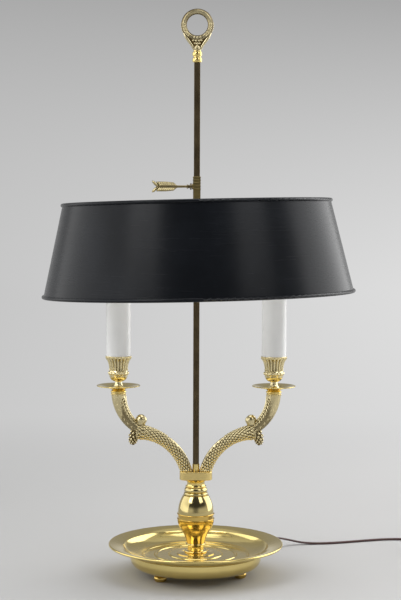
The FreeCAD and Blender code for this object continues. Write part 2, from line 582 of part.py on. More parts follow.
# What one arm carries, from its top up: ferrule, drip pan, cup, sleeve, nipple, holder, shell, bulb
def makeCandle(side, sign):
    out = lamp.armReach * sign
    hole = lamp.nippleRadius + lamp.boreClear

    def piece(name, base, points):
        turned(f"{name}_{side}", points, (out, 0, base))

    piece("arm_ferrule", lamp.armTop, [
        (hole, 0), (lamp.stalkTopRadius, 0), (lamp.stalkTopRadius, 1), (lamp.ferruleRingRadius, 1.2),
        (lamp.ferruleRingRadius, 3.6, -0.5), (lamp.ferruleTopRadius, lamp.ferruleHeight, 0.3),
        (hole, lamp.ferruleHeight),
    ])
    rim = lamp.panDish + lamp.panSheet
    piece("bobeche", panBase, [
        (hole, 0), (lamp.panSeatRadius, 0), (lamp.panRadius - 1, lamp.panDish, 0.08),
        (lamp.panRadius, lamp.panDish + lamp.panSheet / 2, -0.4), (lamp.panRadius - 1, rim, -0.4),
        (lamp.panSeatRadius, lamp.panSheet, -0.08), (hole, lamp.panSheet),
    ])
    top = lamp.cupHeight
    seat = top - lamp.cupRecess
    recess = lamp.sleeveRadius + lamp.boreClear
    piece("candle_cup", cupBase, [
        (hole, 0), (lamp.cupBaseRadius, 0), (lamp.cupBaseRadius, 1.4, -0.6),
        (lamp.cupNeckRadius, lamp.cupNeckRise, 0.3), (lamp.cupNeckRadius, lamp.cupNeckRise + 1.2),
        (lamp.cupBulgeRadius, lamp.cupBulgeRise, -0.35), (lamp.cupBulgeRadius, lamp.cupBulgeRise + 4.2, -0.3),
        (lamp.cupWaistRadius, lamp.cupWaistRise, 0.12),
        (lamp.cupWaistRadius + 2.4, top - lamp.cupRimHeight, 0.08),
        (lamp.cupRimRadius - 0.2, seat - 0.4, 0.2), (lamp.cupRimRadius, top - 0.4),
        (lamp.cupRimRadius - 0.3, top), (recess, top), (recess, seat), (hole, seat),
    ])
    bore = lamp.sleeveRadius - lamp.sleeveWall
    piece("candle_sleeve", sleeveBase, [
        (bore, 0), (lamp.sleeveRadius, 0), (lamp.sleeveRadius, lamp.sleeveLength - 0.4),
        (lamp.sleeveRadius - 0.4, lamp.sleeveLength, -0.4), (bore, lamp.sleeveLength),
    ])
    low = lamp.armTop - lamp.nippleInArm
    piece("lamp_nipple", 0, [
        (lamp.nippleBore, low), (lamp.nippleRadius, low), (lamp.nippleRadius, nippleTop),
        (lamp.nippleBore, nippleTop),
    ])
    pocket = lamp.shellRadius + lamp.runClear
    floor = lamp.holderLength - lamp.shellLength
    piece("lamp_holder", holderBase, [
        (hole, 0), (lamp.holderBoss, 0), (lamp.holderBoss, lamp.holderBossRise),
        (lamp.holderRadius, lamp.holderBossRise + 4), (lamp.holderRadius, lamp.holderLength),
        (pocket, lamp.holderLength), (pocket, floor), (2.5, floor), (2.5, lamp.nippleInHolder + 0.4),
        (hole, lamp.nippleInHolder + 0.4),
    ])
    inner = lamp.shellRadius - lamp.shellWall
    piece("screw_shell", holderBase + floor, [
        (2.5, 0), (lamp.shellRadius, 0), (lamp.shellRadius, lamp.shellLength), (inner, lamp.shellLength),
        (inner, lamp.shellWall), (2.5, lamp.shellWall),
    ])
    capTop = lamp.bulbCapLength
    piece("bulb_cap", holderTop + lamp.seatClear - lamp.bulbCapLength, [
        (0, 0), (2.2, 0), (lamp.bulbCapRadius, 3), (lamp.bulbCapRadius, capTop), (0, capTop),
    ])
    wall = lamp.bulbGlass
    tip = lamp.bulbTipRadius
    piece("bulb_glass", holderTop + lamp.seatClear, [
        (lamp.bulbNeckRadius - wall, 0, 0.2), (lamp.bulbNeckRadius, 0),
        (lamp.bulbRadius, lamp.bulbBellyRise, -0.2),
        (lamp.bulbShoulderRadius, lamp.bulbShoulderRise, -0.2), (tip, lamp.bulbLength, -0.12),
        (0, lamp.bulbLength), (0, lamp.bulbLength - wall * 1.6), (tip, lamp.bulbLength - wall * 1.6),
        (lamp.bulbShoulderRadius - wall, lamp.bulbShoulderRise - wall / 2, 0.12),
        (lamp.bulbRadius - wall, lamp.bulbBellyRise, 0.2),
    ])


# Stem: a square bar with round tenons, on a collar that covers its lower joint
def makeStem():
    turned("stem_collar", [
        (lamp.stemTenonRadius + lamp.boreClear, 0), (lamp.collarRadius, 0),
        (lamp.collarRadius, lamp.collarHeight), (lamp.stemTenonRadius + lamp.boreClear, lamp.collarHeight),
    ], (0, 0, hubTop))
    body = newBody("stem_rod", (0, 0, stemBase))
    sketch = newSketch(body, "bar_outline", "XY_Plane")
    half = lamp.stemWidth / 2
    addRectangle(sketch, -half, -half, half, half)
    length = stemTop - stemBase
    bar = extrude(body, sketch, length, "bar")
    soften(body, bar, edgesAlong(bar, Vector(0, 0, 1)), lamp.stemEdge, "edge_break", "Chamfer")
    low = newSketch(body, "hub_tenon_outline", "XY_Plane")
    addCircle(low, lamp.stemTenonRadius)
    extrude(body, low, lamp.collarHeight + lamp.stemInHub, "hub_tenon", flip=True)
    high = newSketch(body, "finial_tenon_outline", "XY_Plane", (0, 0, length))
    addCircle(high, lamp.finialTenonRadius)
    extrude(body, high, lamp.finialTenonLength, "finial_tenon")


# Finial: a two-bead ferrule on the stem, and a cast ring whose sides run down into a neck
def makeFinial():
    bore = lamp.finialTenonRadius + lamp.boreClear
    bead, step = lamp.ferruleBeadRadius, lamp.ferruleStep
    height = lamp.ferruleBeadHeight
    top = height * 2 + step * 2
    turned("finial_ferrule", [
        (bore, 0), (bead, 0), (bead, height, -0.28), (bead - 0.6, height), (bead - 0.6, height + step),
        (bead, height + step), (bead, height * 2 + step, -0.28), (bead - 0.6, height * 2 + step),
        (bead - 0.6, top), (bore, top),
    ], (0, 0, stemTop))
    ringOut = lamp.ringMeanRadius + lamp.ringBarRadius
    centre = lamp.lampHeight - ringOut
    drop = centre - stemTop - top
    body = newBody("ring_finial", (0, 0, centre))
    bar = newSketch(body, "ring_outline", "YZ_Plane")
    addCircle(bar, lamp.ringBarRadius, 0, lamp.ringMeanRadius)
    ring = body.newObject("PartDesign::Revolution", "ring")
    ring.Profile = bar
    ring.ReferenceAxis = (bar, ["H_Axis"])
    ring.Angle = 360
    hole = lamp.ringMeanRadius - lamp.ringBarRadius
    half, thick, neck = lamp.crownWidth, lamp.crownThick, lamp.finialNeckRadius
    reach = drop - hole
    sections = [
        (hole + 0.5, half, thick),
        (hole + reach * 0.25, half * 0.84, thick * 1.1),
        (hole + reach * 0.58, half * 0.53, thick * 1.2),
        (hole + reach * 0.84, neck * 1.04, neck),
        (drop, neck * 1.04, neck),
    ]
    crown = []
    for k, (down, wide, deep) in enumerate(sections):
        sketch = newSketch(body, f"crown_{k}", "XY_Plane", (0, 0, -down))
        flat = wide - deep
        addOutline(sketch, [(flat, -deep), (flat, deep, -0.999), (-flat, deep), (-flat, -deep, -0.999)])
        crown.append(sketch)
    loft(body, crown, "crown")
    stud = newSketch(body, "stud_outline", "XY_Plane", (0, 0, -drop))
    addCircle(stud, lamp.finialTenonRadius)
    extrude(body, stud, lamp.finialStudLength, "stud", flip=True)


# Slider: a ribbed square sleeve with a flange and a threaded end that takes the spider and its nut
def makeSlider():
    body = newBody("shade_slider", (0, 0, lamp.spiderHeight))
    ledge = lamp.spiderRingThick / 2 + lamp.spiderSlack
    nutTop = -ledge
    threadEnd = nutTop - lamp.sliderNutThick - 1
    flangeTop = ledge + lamp.flangeThick
    bore = lamp.stemWidth / 2 + lamp.runClear
    revolve(body, [
        (0, threadEnd), (lamp.threadRadius, threadEnd), (lamp.threadRadius, ledge),
        (lamp.flangeRadius, ledge), (lamp.flangeRadius, flangeTop - 0.6),
        (lamp.flangeRadius - 0.6, flangeTop, -0.4), (0, flangeTop),
    ], "thread_and_flange")
    sleeve = newSketch(body, "sleeve_outline", "XY_Plane", (0, 0, flangeTop))
    half = sliderWidth / 2
    addRectangle(sleeve, -half, -half, half, half)
    length = lamp.sliderTop - lamp.spiderHeight - flangeTop
    extrude(body, sleeve, length, "sleeve")
    for k in range(5):
        top = lamp.sliderTop - lamp.spiderHeight - lamp.sliderRibStep * k
        rib = newSketch(body, f"rib_outline_{k}", "XY_Plane", (0, 0, top - lamp.sliderRibThick))
        half = sliderRibWidth / 2
        addRectangle(rib, -half, -half, half, half)
        pad = extrude(body, rib, lamp.sliderRibThick, f"rib_{k}")
        edges = [f"Edge{n + 1}" for n, e in enumerate(pad.Shape.Edges) if onRib(e, top.value, half.value)]
        soften(body, pad, edges, 0.35, f"rib_edge_{k}", "Chamfer")
    keyRise = lamp.keyHeight - lamp.spiderHeight
    boss = newSketch(body, "boss_outline", "YZ_Plane", (0, 0, -bore))
    addCircle(boss, lamp.keyBossRadius, 0, keyRise)
    extrude(body, boss, sliderWidth / 2 - bore + lamp.keyBossLength, "boss", flip=True)
    hollow = newSketch(body, "bore_outline", "XY_Plane", (0, 0, lamp.sliderTop - lamp.spiderHeight + 1))
    addRectangle(hollow, -bore, -bore, bore, bore)
    extrude(body, hollow, lamp.sliderTop - lamp.spiderHeight - threadEnd + 2, "bore", cut=True)
    drill(body, "key_hole", lamp.keyPinRadius + lamp.runClear, sliderWidth, "YZ_Plane", v=keyRise)
    turned("slider_nut", [
        (lamp.threadRadius + lamp.boreClear, 0), (lamp.sliderNutRadius - 0.6, 0),
        (lamp.sliderNutRadius, 0.6, -0.4), (lamp.sliderNutRadius, lamp.sliderNutThick - 0.6),
        (lamp.sliderNutRadius - 0.6, lamp.sliderNutThick, -0.4),
        (lamp.threadRadius + lamp.boreClear, lamp.sliderNutThick),
    ], (0, 0, lamp.spiderHeight + nutTop - lamp.sliderNutThick))


# True for an edge round a rib's upper or lower outline
def onRib(edge, top, half):
    box = edge.BoundBox
    level = box.ZMax - box.ZMin < 1e-6 and -lamp.sliderRibThick.value - 1e-3 <= box.ZMax - top < 1e-3
    return level and max(abs(box.XMax), abs(box.XMin), abs(box.YMax), abs(box.YMin)) > half - 1e-3


# Arrow key: a thumb screw with a disc, a beaded spool, a shaft and a feathered, notched tail
def makeKey():
    body = newBody("arrow_key", (0, 0, lamp.keyHeight), Rotation(Vector(0, 0, 1), 180))
    tip = lamp.stemWidth / 2 + lamp.floorClear
    disc = sliderWidth / 2 + lamp.keyBossLength + lamp.seatClear
    discEnd = disc + lamp.keyDiscThick
    spool = (lamp.keySpoolEnd + discEnd) / 2
    revolve(body, [
        (tip, 0), (tip, lamp.keyPinRadius), (disc, lamp.keyPinRadius), (disc, lamp.keyDiscRadius - 0.5),
        (discEnd, lamp.keyDiscRadius - 0.5, 0.6), (discEnd, lamp.keyShaftRadius),
        (discEnd + 0.6, lamp.keyShaftRadius), (spool, lamp.keyShaftRadius + 0.1, 0.7),
        (lamp.keySpoolEnd, lamp.keyShaftRadius + 0.1, 0.5), (lamp.keySpoolEnd, lamp.keyShaftRadius),
        (lamp.keyShaftEnd + 1, lamp.keyShaftRadius), (lamp.keyShaftEnd + 1, 0),
    ], "shaft", axis="H_Axis")
    feather = newSketch(body, "feather_outline", "XZ_Plane")
    start, end = lamp.keyShaftEnd, lamp.keyFeatherEnd
    half, tail = lamp.keyFeatherHalf, lamp.keyTailHalf
    upper = [(start, lamp.keyShaftRadius + 0.3), (start + 3, half * 0.66), (start + 8, half * 0.9),
             (end, half), (lamp.keyTailEnd, tail)]
    lower = [(u, -v) for u, v in reversed(upper)]
    addOutline(feather, [*lower, *upper, (lamp.keyNotch, 0)])
    extrude(body, feather, lamp.keyThick, "feather", both=True)


# Shade: a rolled steel cone with a wired bead at each edge, hung on a three-armed spider
def makeShade():
    askew = Rotation(Vector(0, 1, 0), -lamp.shadeRoll.value)
    askew *= Rotation(Vector(1, 0, 0), -lamp.shadePitch.value)
    place = (0, 0, lamp.spiderHeight)
    body = newBody("shade_shell", place, askew)
    bead = lamp.shadeBeadRadius
    topOut, lowOut = lamp.shadeTopRadius - bead, lamp.shadeBottomRadius - bead
    high = lamp.shadeTopHeight - lamp.spiderHeight - bead
    low = high - lamp.shadeDrop + bead * 2
    revolve(body, [
        (lowOut - lamp.shadeSheet, low), (lowOut, low), (topOut, high), (topOut - lamp.shadeSheet, high),
    ], "cone")
    for name, out, up in (("bottom_bead", lowOut, low), ("top_bead", topOut, high)):
        sketch = newSketch(body, f"{name}_outline")
        addCircle(sketch, bead, out, up)
        ring = body.newObject("PartDesign::Revolution", name)
        ring.Profile = sketch
        ring.ReferenceAxis = (sketch, ["V_Axis"])
        ring.Angle = 360
    arms = newBody("shade_spider", place, askew * Rotation(Vector(0, 0, 1), 90))
    thick = lamp.spiderRingThick / 2
    hole, edge = lamp.threadRadius + lamp.seatClear, lamp.spiderRingRadius
    revolve(arms, [(hole, -thick), (edge, -thick), (edge, thick), (hole, thick)], "ring")
    wall = topOut + (lowOut - topOut) * (high / (high - low)) - lamp.shadeSheet
    reach = wall - lamp.spiderArmRadius * 0.3 - lamp.floorClear
    bar = newSketch(arms, "bar_outline", "YZ_Plane", (0, 0, edge - 0.6))
    addCircle(bar, lamp.spiderArmRadius)
    pad = extrude(arms, bar, reach - edge + 0.6, "arm")
    around(arms, pad, 3, "arms")


# Wire of straight runs joined by tangent arcs, each arc as large as its two runs allow
def routeWire(points):
    share = 0.45
    points = [Vector(*p) for p in points]
    edges, start, radii = [], points[0], []
    for before, corner, after in zip(points, points[1:], points[2:]):
        back, ahead = before - corner, after - corner
        reach = share * min(back.Length, ahead.Length)
        turn = math.pi - back.getAngle(ahead)
        radii.append(reach / math.tan(turn / 2))
        enter = corner + back.normalize() * reach
        leave = corner + ahead.normalize() * reach
        inward = ((enter + leave) * 0.5 - corner).normalize()
        middle = corner + inward * (radii[-1] / math.cos(turn / 2) - radii[-1])
        edges += [Part.LineSegment(start, enter).toShape(), Part.Arc(enter, middle, leave).toShape()]
        start = leave
    edges.append(Part.LineSegment(start, points[-1]).toShape())
    return Part.Wire(edges), radii


# Round tube along a wire, with its volume compared with its section times its length
def tube(label, wire, radius):
    start = wire.Edges[0]
    along = start.tangentAt(start.FirstParameter)
    ring = Part.Wire(Part.makeCircle(radius.value, start.valueAt(start.FirstParameter), along))
    feature = doc.addObject("Part::Feature", label)
    feature.Shape = wire.makePipeShell([ring], True, False)
    feature.Label = label
    nodes.append(feature)
    share = feature.Shape.Volume / (math.pi * radius.value**2 * wire.Length)
    print(f"{label}: length {wire.Length:.1f}, volume share {share:.4f}")


def axisPoint(turn, out, up):
    return (out.value * cosine(turn).value, out.value * sine(turn).value, up.value)


floor = cordHeight.value
switchMiddle = lamp.switchHeight.value / 2 + lamp.floorClear.value
# Route of the lead from the strain relief to the switch, laid by hand: out of the bowl, down to
# the surface, across it, and round to the switch
leadRoute = [
    axisPoint(lamp.outletTurn, reliefSeat + lamp.reliefLength + lamp.seatClear, lamp.outletHeight),
    (66, 97, 19.5), (80, 117.5, 19.4), (95, 139, 18.2), (111, 158, 14.8), (127, 170, 10), (143, 175.5, 5.2),
    (160, 176.5, floor), (180, 178.5, floor), (205, 186, floor), (231, 196, floor), (257, 204.5, floor),
    (278, 207, floor), (294, 202.5, floor), (305, 191.5, 3.8), (309.8, 177, 6.6), (310, 163.3, switchMiddle),
]
switchEnd = 163 - lamp.switchLength.value - lamp.seatClear.value
tailRoute = [
    (310, switchEnd, switchMiddle), (310, switchEnd - 11, switchMiddle - 0.05), (310, switchEnd - 27, 2.95),
    (310.1, switchEnd - 40, floor), (310, switchEnd - 52.7, floor),
]
coilStart = Vector(*tailRoute[-1])
turnsIn = 3.5
turnsOut = 4


def arcFrom(start, along, end):
    chord = end - start
    across = (along - chord * (along.dot(chord) / chord.dot(chord))).normalize()
    half = along.getAngle(chord) / 2
    middle = (start + end) * 0.5 + across * (chord.Length / 2 * math.tan(half))
    return Part.Arc(start, middle, end).toShape()


# Coil: one unbroken wire that spirals in on the surface, climbs a layer, and spirals out above
def coilWire():
    straight = lamp.cordRadius.value * 2
    pitch = lamp.coilPitch.value
    radius = lamp.coilRadius.value
    centre = coilStart + Vector(radius, -straight, 0)
    up = Vector(0, 0, pitch)
    at = centre - Vector(radius, 0, 0)
    edges = [Part.LineSegment(coilStart, at).toShape()]
    halves = int(2 * turnsIn), int(2 * turnsOut)
    spread = {0: -0.8, 1: 1.75}
    for k in range(sum(halves) + 1):
        side = 1 if k % 2 == 0 else -1
        climb = k == halves[0]
        radius += pitch / 2 * spread.get(k - halves[0], math.copysign(1, k - halves[0]))
        height = up if k >= halves[0] else Vector()
        end = Vector(centre.x + side * radius, centre.y, centre.z) + height
        along = Vector(0, -side, 0)
        if climb:
            reach = (end - at).Length / 2
            join = (at + end) * 0.5 + along * reach
            edges += [arcFrom(at, along, join), arcFrom(join, end - at, end)]
        else:
            middle = Vector((at.x + end.x) / 2, centre.y - side * abs(end.x - at.x) / 2, end.z)
            edges.append(Part.Arc(at, middle, end).toShape())
        at = end
    edges.append(Part.LineSegment(at, at - Vector(0, lamp.coilRunOut.value, 0)).toShape())
    return Part.Wire(edges)


# Least gap between stretches of a wire's tube that are not neighbours along it
def leastGap(wire, radius):
    step = 2.0
    points = wire.discretize(Distance=step)
    apart = int(6 * radius / step)
    gaps = [p.distanceToPoint(q) for k, p in enumerate(points) for q in points[k + apart:]]
    return min(gaps) - 2 * radius


def makeCord():
    outward = Rotation(Vector(0, 0, 1), lamp.outletTurn.value)
    inside, seat = lamp.bowlRadius - lamp.reliefTail, reliefSeat
    flange = inside + lamp.reliefFlangeThick
    turned("strain_relief", [
        (inside, 0), (inside, lamp.reliefFlangeRadius), (flange, lamp.reliefFlangeRadius),
        (flange, lamp.reliefRadius), (seat, lamp.reliefRadius),
        (seat, lamp.reliefCollarRadius), (seat + 2, lamp.reliefCollarRadius), (seat + 2, lamp.reliefRadius),
        (seat + lamp.reliefLength, lamp.reliefTipRadius), (seat + lamp.reliefLength, 0),
    ], (0, 0, lamp.outletHeight), outward, axis="H_Axis")
    for label, route in (("cord_lead", leadRoute), ("cord_tail", tailRoute)):
        wire, radii = routeWire(route)
        print(f"{label} radii:", " ".join(f"{r:.0f}" for r in radii))
        tube(label, wire, lamp.cordRadius)
    wire = coilWire()
    print(f"cord_coil least gap: {leastGap(wire, lamp.cordRadius.value):.2f}")
    tube("cord_coil", wire, lamp.cordRadius)
    return wire.Vertexes[-1].Point


# Switch on the lead: a base and a cover with a thumb wheel between them
def makeSwitch():
    place = (310, 163 - lamp.switchLength / 2, lamp.floorClear)
    half = lamp.switchHeight / 2
    wide, long = lamp.switchWidth / 2, lamp.switchLength / 2
    room = lamp.wheelThick / 2 + lamp.seatClear
    around1 = lamp.wheelRadius + lamp.seatClear
    for label, low, flip in (("switch_base", half, True), ("switch_cover", half, False)):
        body = newBody(label, place)
        sketch = newSketch(body, "block_outline", "XY_Plane", (0, 0, low))
        addRectangle(sketch, -wide, -long, wide, long)
        block = extrude(body, sketch, half, "block", flip=flip)
        corners = soften(body, block, edgesAlong(block, Vector(0, 0, 1)), 6, "rounded_ends")
        level = 0 if flip else lamp.switchHeight.value
        rim = [f"Edge{k + 1}" for k, e in enumerate(corners.Shape.Edges)
               if abs(e.BoundBox.ZMax - level) + abs(e.BoundBox.ZMin - level) < 1e-6]
        soften(body, corners, rim, 1.5, "rounded_rim")
        well = newSketch(body, "well_outline", "XY_Plane", (0, 0, half))
        addCircle(well, around1, lamp.wheelOut)
        if flip:
            addCircle(well, lamp.wheelPinRadius, lamp.wheelOut)
        extrude(body, well, room, "wheel_well", cut=True, flip=not flip)
        if flip:
            pin = newSketch(body, "pin_outline", "XY_Plane", (0, 0, half))
            addCircle(pin, lamp.wheelPinRadius, lamp.wheelOut)
            extrude(body, pin, room, "wheel_pin")
    wheel = newBody("switch_wheel", (place[0] + lamp.wheelOut, place[1], half + lamp.floorClear))
    disc = newSketch(wheel, "disc_outline", "XY_Plane")
    addCircle(disc, lamp.wheelRadius)
    addCircle(disc, lamp.wheelPinRadius + lamp.runClear)
    extrude(wheel, disc, lamp.wheelThick, "disc", both=True)
    notch = newSketch(wheel, "notch_outline", "XY_Plane", (0, 0, lamp.wheelThick))
    addCircle(notch, lamp.wheelNotchRadius, lamp.wheelRadius + 0.2)
    cut = extrude(wheel, notch, lamp.wheelThick * 2, "notch", cut=True)
    around(wheel, cut, 18, "notches")


# Plug at the coil's end: a grip that tapers over the cord, a body and two flat blades
def makePlug(end):
    place = (end.x, end.y, end.z)
    along = Rotation(Vector(0, 0, 1), -90)
    body = newBody("plug_body", place, along)
    grip, length = lamp.plugGripLength, lamp.plugLength
    revolve(body, [
        (0, 0), (0, lamp.cordRadius + 0.7), (grip, lamp.plugGripRadius), (grip + 2, lamp.plugGripRadius),
        (grip + 2, 0),
    ][::-1], "grip", axis="H_Axis")
    wide, high = lamp.plugWidth / 2, lamp.plugHeight / 2
    sketch = newSketch(body, "body_outline", "YZ_Plane", (0, 0, grip))
    addRectangle(sketch, -wide, -high, wide, high)
    block = extrude(body, sketch, length, "block")
    edges = edgesAlong(block, Vector(1, 0, 0), length.value * 0.5)
    soften(body, block, edges, 4, "rounded_sides")
    blades = []
    for k, side in enumerate((-1, 1)):
        blade = doc.addObject("Part::Box", f"plug_blade_{k + 1}")
        blade.setExpression("Length", lamp.bladeThick.text)
        blade.setExpression("Width", lamp.bladeLength.text)
        blade.setExpression("Height", lamp.bladeWidth.text)
        out = end.x + lamp.bladeGap * (side / 2) - lamp.bladeThick / 2
        setPlace(blade, (out, end.y - grip - length - lamp.bladeLength, end.z - lamp.bladeWidth / 2), None)
        blades.append(blade)
    group = doc.addObject("Part::Compound", "plug_blades")
    group.Links = blades
    group.Label = "plug_blades"
    nodes.append(group)


makeTray()
makeBowl()
makeFeet()
makePipe()
makeUrn()
makeHub()
for side, sign, turn in (("right", 1, 0), ("left", -1, 180)):
    makeArm(f"arm_{side}", turn)
    makeCandle(side, sign)
makeStem()
makeFinial()
makeSlider()
makeKey()
makeShade()
coilEnd = makeCord()
makeSwitch()
makePlug(coilEnd)
doc.recompute()

for thing in doc.Objects:
    if {"Invalid", "Error"} & set(thing.State):
        raise RuntimeError(f"{thing.Label} has failed: {thing.State}")
os.makedirs("parts", exist_ok=True)
for node in nodes:
    shape = node.Shape
    if shape.isNull() or not shape.isValid() or not shape.Solids:
        raise RuntimeError(f"{node.Label} has no valid solid")
    shape.exportStep(f"parts/{node.Label}.step")
print(f"{len(nodes)} nodes")
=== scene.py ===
import bpy
import bmesh
import math
from mathutils import Matrix, Vector


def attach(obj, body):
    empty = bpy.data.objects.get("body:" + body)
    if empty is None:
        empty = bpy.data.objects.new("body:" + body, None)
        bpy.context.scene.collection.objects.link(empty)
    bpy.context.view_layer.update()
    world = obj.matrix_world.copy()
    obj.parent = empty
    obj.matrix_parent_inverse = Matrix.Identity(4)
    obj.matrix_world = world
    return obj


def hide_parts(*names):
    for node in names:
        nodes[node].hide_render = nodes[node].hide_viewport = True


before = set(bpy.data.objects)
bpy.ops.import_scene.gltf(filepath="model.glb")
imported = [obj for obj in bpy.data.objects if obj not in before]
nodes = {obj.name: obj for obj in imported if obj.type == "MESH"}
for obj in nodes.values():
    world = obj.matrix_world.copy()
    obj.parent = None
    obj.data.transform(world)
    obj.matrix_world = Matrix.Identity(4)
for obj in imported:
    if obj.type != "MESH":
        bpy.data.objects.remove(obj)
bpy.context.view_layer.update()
scene = bpy.context.scene
mm = 0.001

cameraSetup = {
    "place": (0.0050, -2.030, 0.483),
    "pitch": 3.9,  # degrees below level
    "roll": 0.2,
    "lens": 98.6,
    "sensor": 36,
    "farthest": 30,
}

bpy.ops.object.camera_add(location=cameraSetup["place"])
camera = bpy.context.object
camera.name = "camera"
aim = Matrix.Rotation(math.radians(90 - cameraSetup["pitch"]), 3, "X")
camera.rotation_euler = (aim @ Matrix.Rotation(math.radians(cameraSetup["roll"]), 3, "Z")).to_euler()
camera.data.lens = cameraSetup["lens"]
camera.data.sensor_width = cameraSetup["sensor"]
camera.data.clip_end = cameraSetup["farthest"]
scene.camera = camera
scene.view_settings.view_transform = "Standard"
print("camera placed")


# Cord: out of the bowl, across the table, through the switch and into a coil by the plug
cordRun = {
    "length": 1.8,
    "width": 0.0053,
    "thickness": 0.0028,
    "sides": 12,
    "groove": (0.30, 2.6),  # its depth as a share of the thickness, and how narrow it is
    "carries": ("plug_body", "plug_blades", "switch_base", "switch_cover", "switch_wheel"),
    "exit": (0.0577, 0.0846, 0.019),
    "lead": [
        (0.0577, 0.0846, 0.019), (0.066, 0.097, 0.0194), (0.080, 0.1175, 0.0190), (0.095, 0.139, 0.0172),
        (0.111, 0.158, 0.0130), (0.127, 0.170, 0.0075), (0.143, 0.1755, 0.0028), (0.160, 0.1765, 0.0015),
        (0.180, 0.1785, 0.0015), (0.205, 0.186, 0.0015), (0.231, 0.196, 0.0015), (0.257, 0.2045, 0.0015),
        (0.278, 0.207, 0.0015), (0.294, 0.2025, 0.0017), (0.305, 0.1915, 0.0035), (0.3098, 0.177, 0.0065),
        (0.310, 0.163, 0.0075),
    ],
    "switch": [(0.310, 0.150, 0.0075), (0.310, 0.128, 0.0075)],
    "tail": [
        (0.310, 0.1147, 0.0075), (0.310, 0.1037, 0.0070), (0.310, 0.0877, 0.0025), (0.3101, 0.0747, 0.0015),
        (0.310, 0.062, 0.0015),
    ],
    "coilCentre": (0.348, 0.0567),
    "coilRadius": 0.038,
    "coilStretch": 1.01,  # a curve of this order lies a little inside its points
    "coilPitch": 0.0059,
    "lowestLayer": 0.0015,
    "layerHeight": 0.0029,
    "climbDraw": 0.4,  # the share of the pitch that the coil draws in while it climbs
    "turnsIn": 3.5,
    "turnsOut": 4,
    "pointsPerTurn": 16,
    "runOut": [(0.3072, 0.050, 0.0052), (0.3072, 0.043, 0.0075), (0.3072, 0.0337, 0.0085)],
}


# The coil winds in on the table, climbs one layer and winds out again on top
def coilPoints(run):
    points = []
    inward = int(run["turnsIn"] * run["pointsPerTurn"])
    outward = int(run["turnsOut"] * run["pointsPerTurn"])
    least = run["coilRadius"] - run["turnsIn"] * run["coilPitch"]
    for k in range(1, inward + outward + run["pointsPerTurn"] // 2):
        turn = k / run["pointsPerTurn"]
        if turn < run["turnsIn"]:
            radius = run["coilRadius"] - turn * run["coilPitch"]
            layer = 0
        elif turn < run["turnsIn"] + 0.5:
            radius = least - (turn - run["turnsIn"]) * run["coilPitch"] * run["climbDraw"]
            layer = (turn - run["turnsIn"]) * 2
        else:
            radius = least + (turn - run["turnsIn"] - 0.5) * run["coilPitch"]
            layer = 1
        angle = math.pi + turn * math.tau
        x = run["coilCentre"][0] + radius * math.cos(angle) * run["coilStretch"]
        y = run["coilCentre"][1] + radius * math.sin(angle) * run["coilStretch"]
        points.append((x, y, run["lowestLayer"] + layer * run["layerHeight"]))
    return points


def curveFrom(points, name):
    curve = bpy.data.curves.new(name, "CURVE")
    curve.dimensions = "3D"
    curve.resolution_u = 6
    spline = curve.splines.new("NURBS")
    spline.points.add(len(points) - 1)
    for point, place in zip(spline.points, points):
        point.co = (*place, 1)
    spline.order_u = 3
    spline.use_endpoint_u = True
    return curve


# Points along a curve with no bevel, as Blender evaluates it
def pathOf(curve):
    holder = bpy.data.objects.new("cordPath", curve)
    scene.collection.objects.link(holder)
    mesh = bpy.data.meshes.new_from_object(holder.evaluated_get(bpy.context.evaluated_depsgraph_get()))
    points = [v.co.copy() for v in mesh.vertices]
    bpy.data.objects.remove(holder)
    bpy.data.meshes.remove(mesh)
    return points


cordPoints = cordRun["lead"] + cordRun["switch"] + cordRun["tail"] + coilPoints(cordRun) + cordRun["runOut"]
cordPath = pathOf(curveFrom(cordPoints, "cordLine"))


# Two round cores side by side with a shallow groove between them, laid flat along the path
def flatTube(path, run, name):
    sides = run["sides"]
    depth, narrow = run["groove"]
    mesh = bmesh.new()
    rings = []
    for k, point in enumerate(path):
        along = (path[min(k + 1, len(path) - 1)] - path[max(k - 1, 0)]).normalized()
        across = along.cross(Vector((0, 0, 1))).normalized()
        up = across.cross(along)
        ring = []
        for s in range(sides):
            angle = math.tau * s / sides
            u = math.cos(angle)
            v = math.sin(angle) * (1 - depth * max(0, 1 - abs(u) * narrow))
            spot = point + across * (u * run["width"] / 2) + up * (v * run["thickness"] / 2)
            ring.append(mesh.verts.new(spot))
        rings.append(ring)
    uv = mesh.loops.layers.uv.new("cordUV")
    length = 0
    for k in range(len(rings) - 1):
        step = (path[k + 1] - path[k]).length
        for s in range(sides):
            t = (s + 1) % sides
            face = mesh.faces.new((rings[k][s], rings[k + 1][s], rings[k + 1][t], rings[k][t]))
            face.smooth = True
            corners = ((s, length), (s, length + step), (s + 1, length + step), (s + 1, length))
            for loop, place in zip(face.loops, corners):
                loop[uv].uv = (place[0] / sides, place[1])
        length += step
    mesh.faces.new(rings[0])
    mesh.faces.new(reversed(rings[-1]))
    bmesh.ops.recalc_face_normals(mesh, faces=mesh.faces)
    data = bpy.data.meshes.new(name)
    mesh.to_mesh(data)
    piece = bpy.data.objects.new(name, data)
    scene.collection.objects.link(piece)
    return piece


cordPiece = flatTube(cordPath, cordRun, "lampCord")
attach(cordPiece, "base")
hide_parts("cord_lead", "cord_tail", "cord_coil")
print("cord laid")


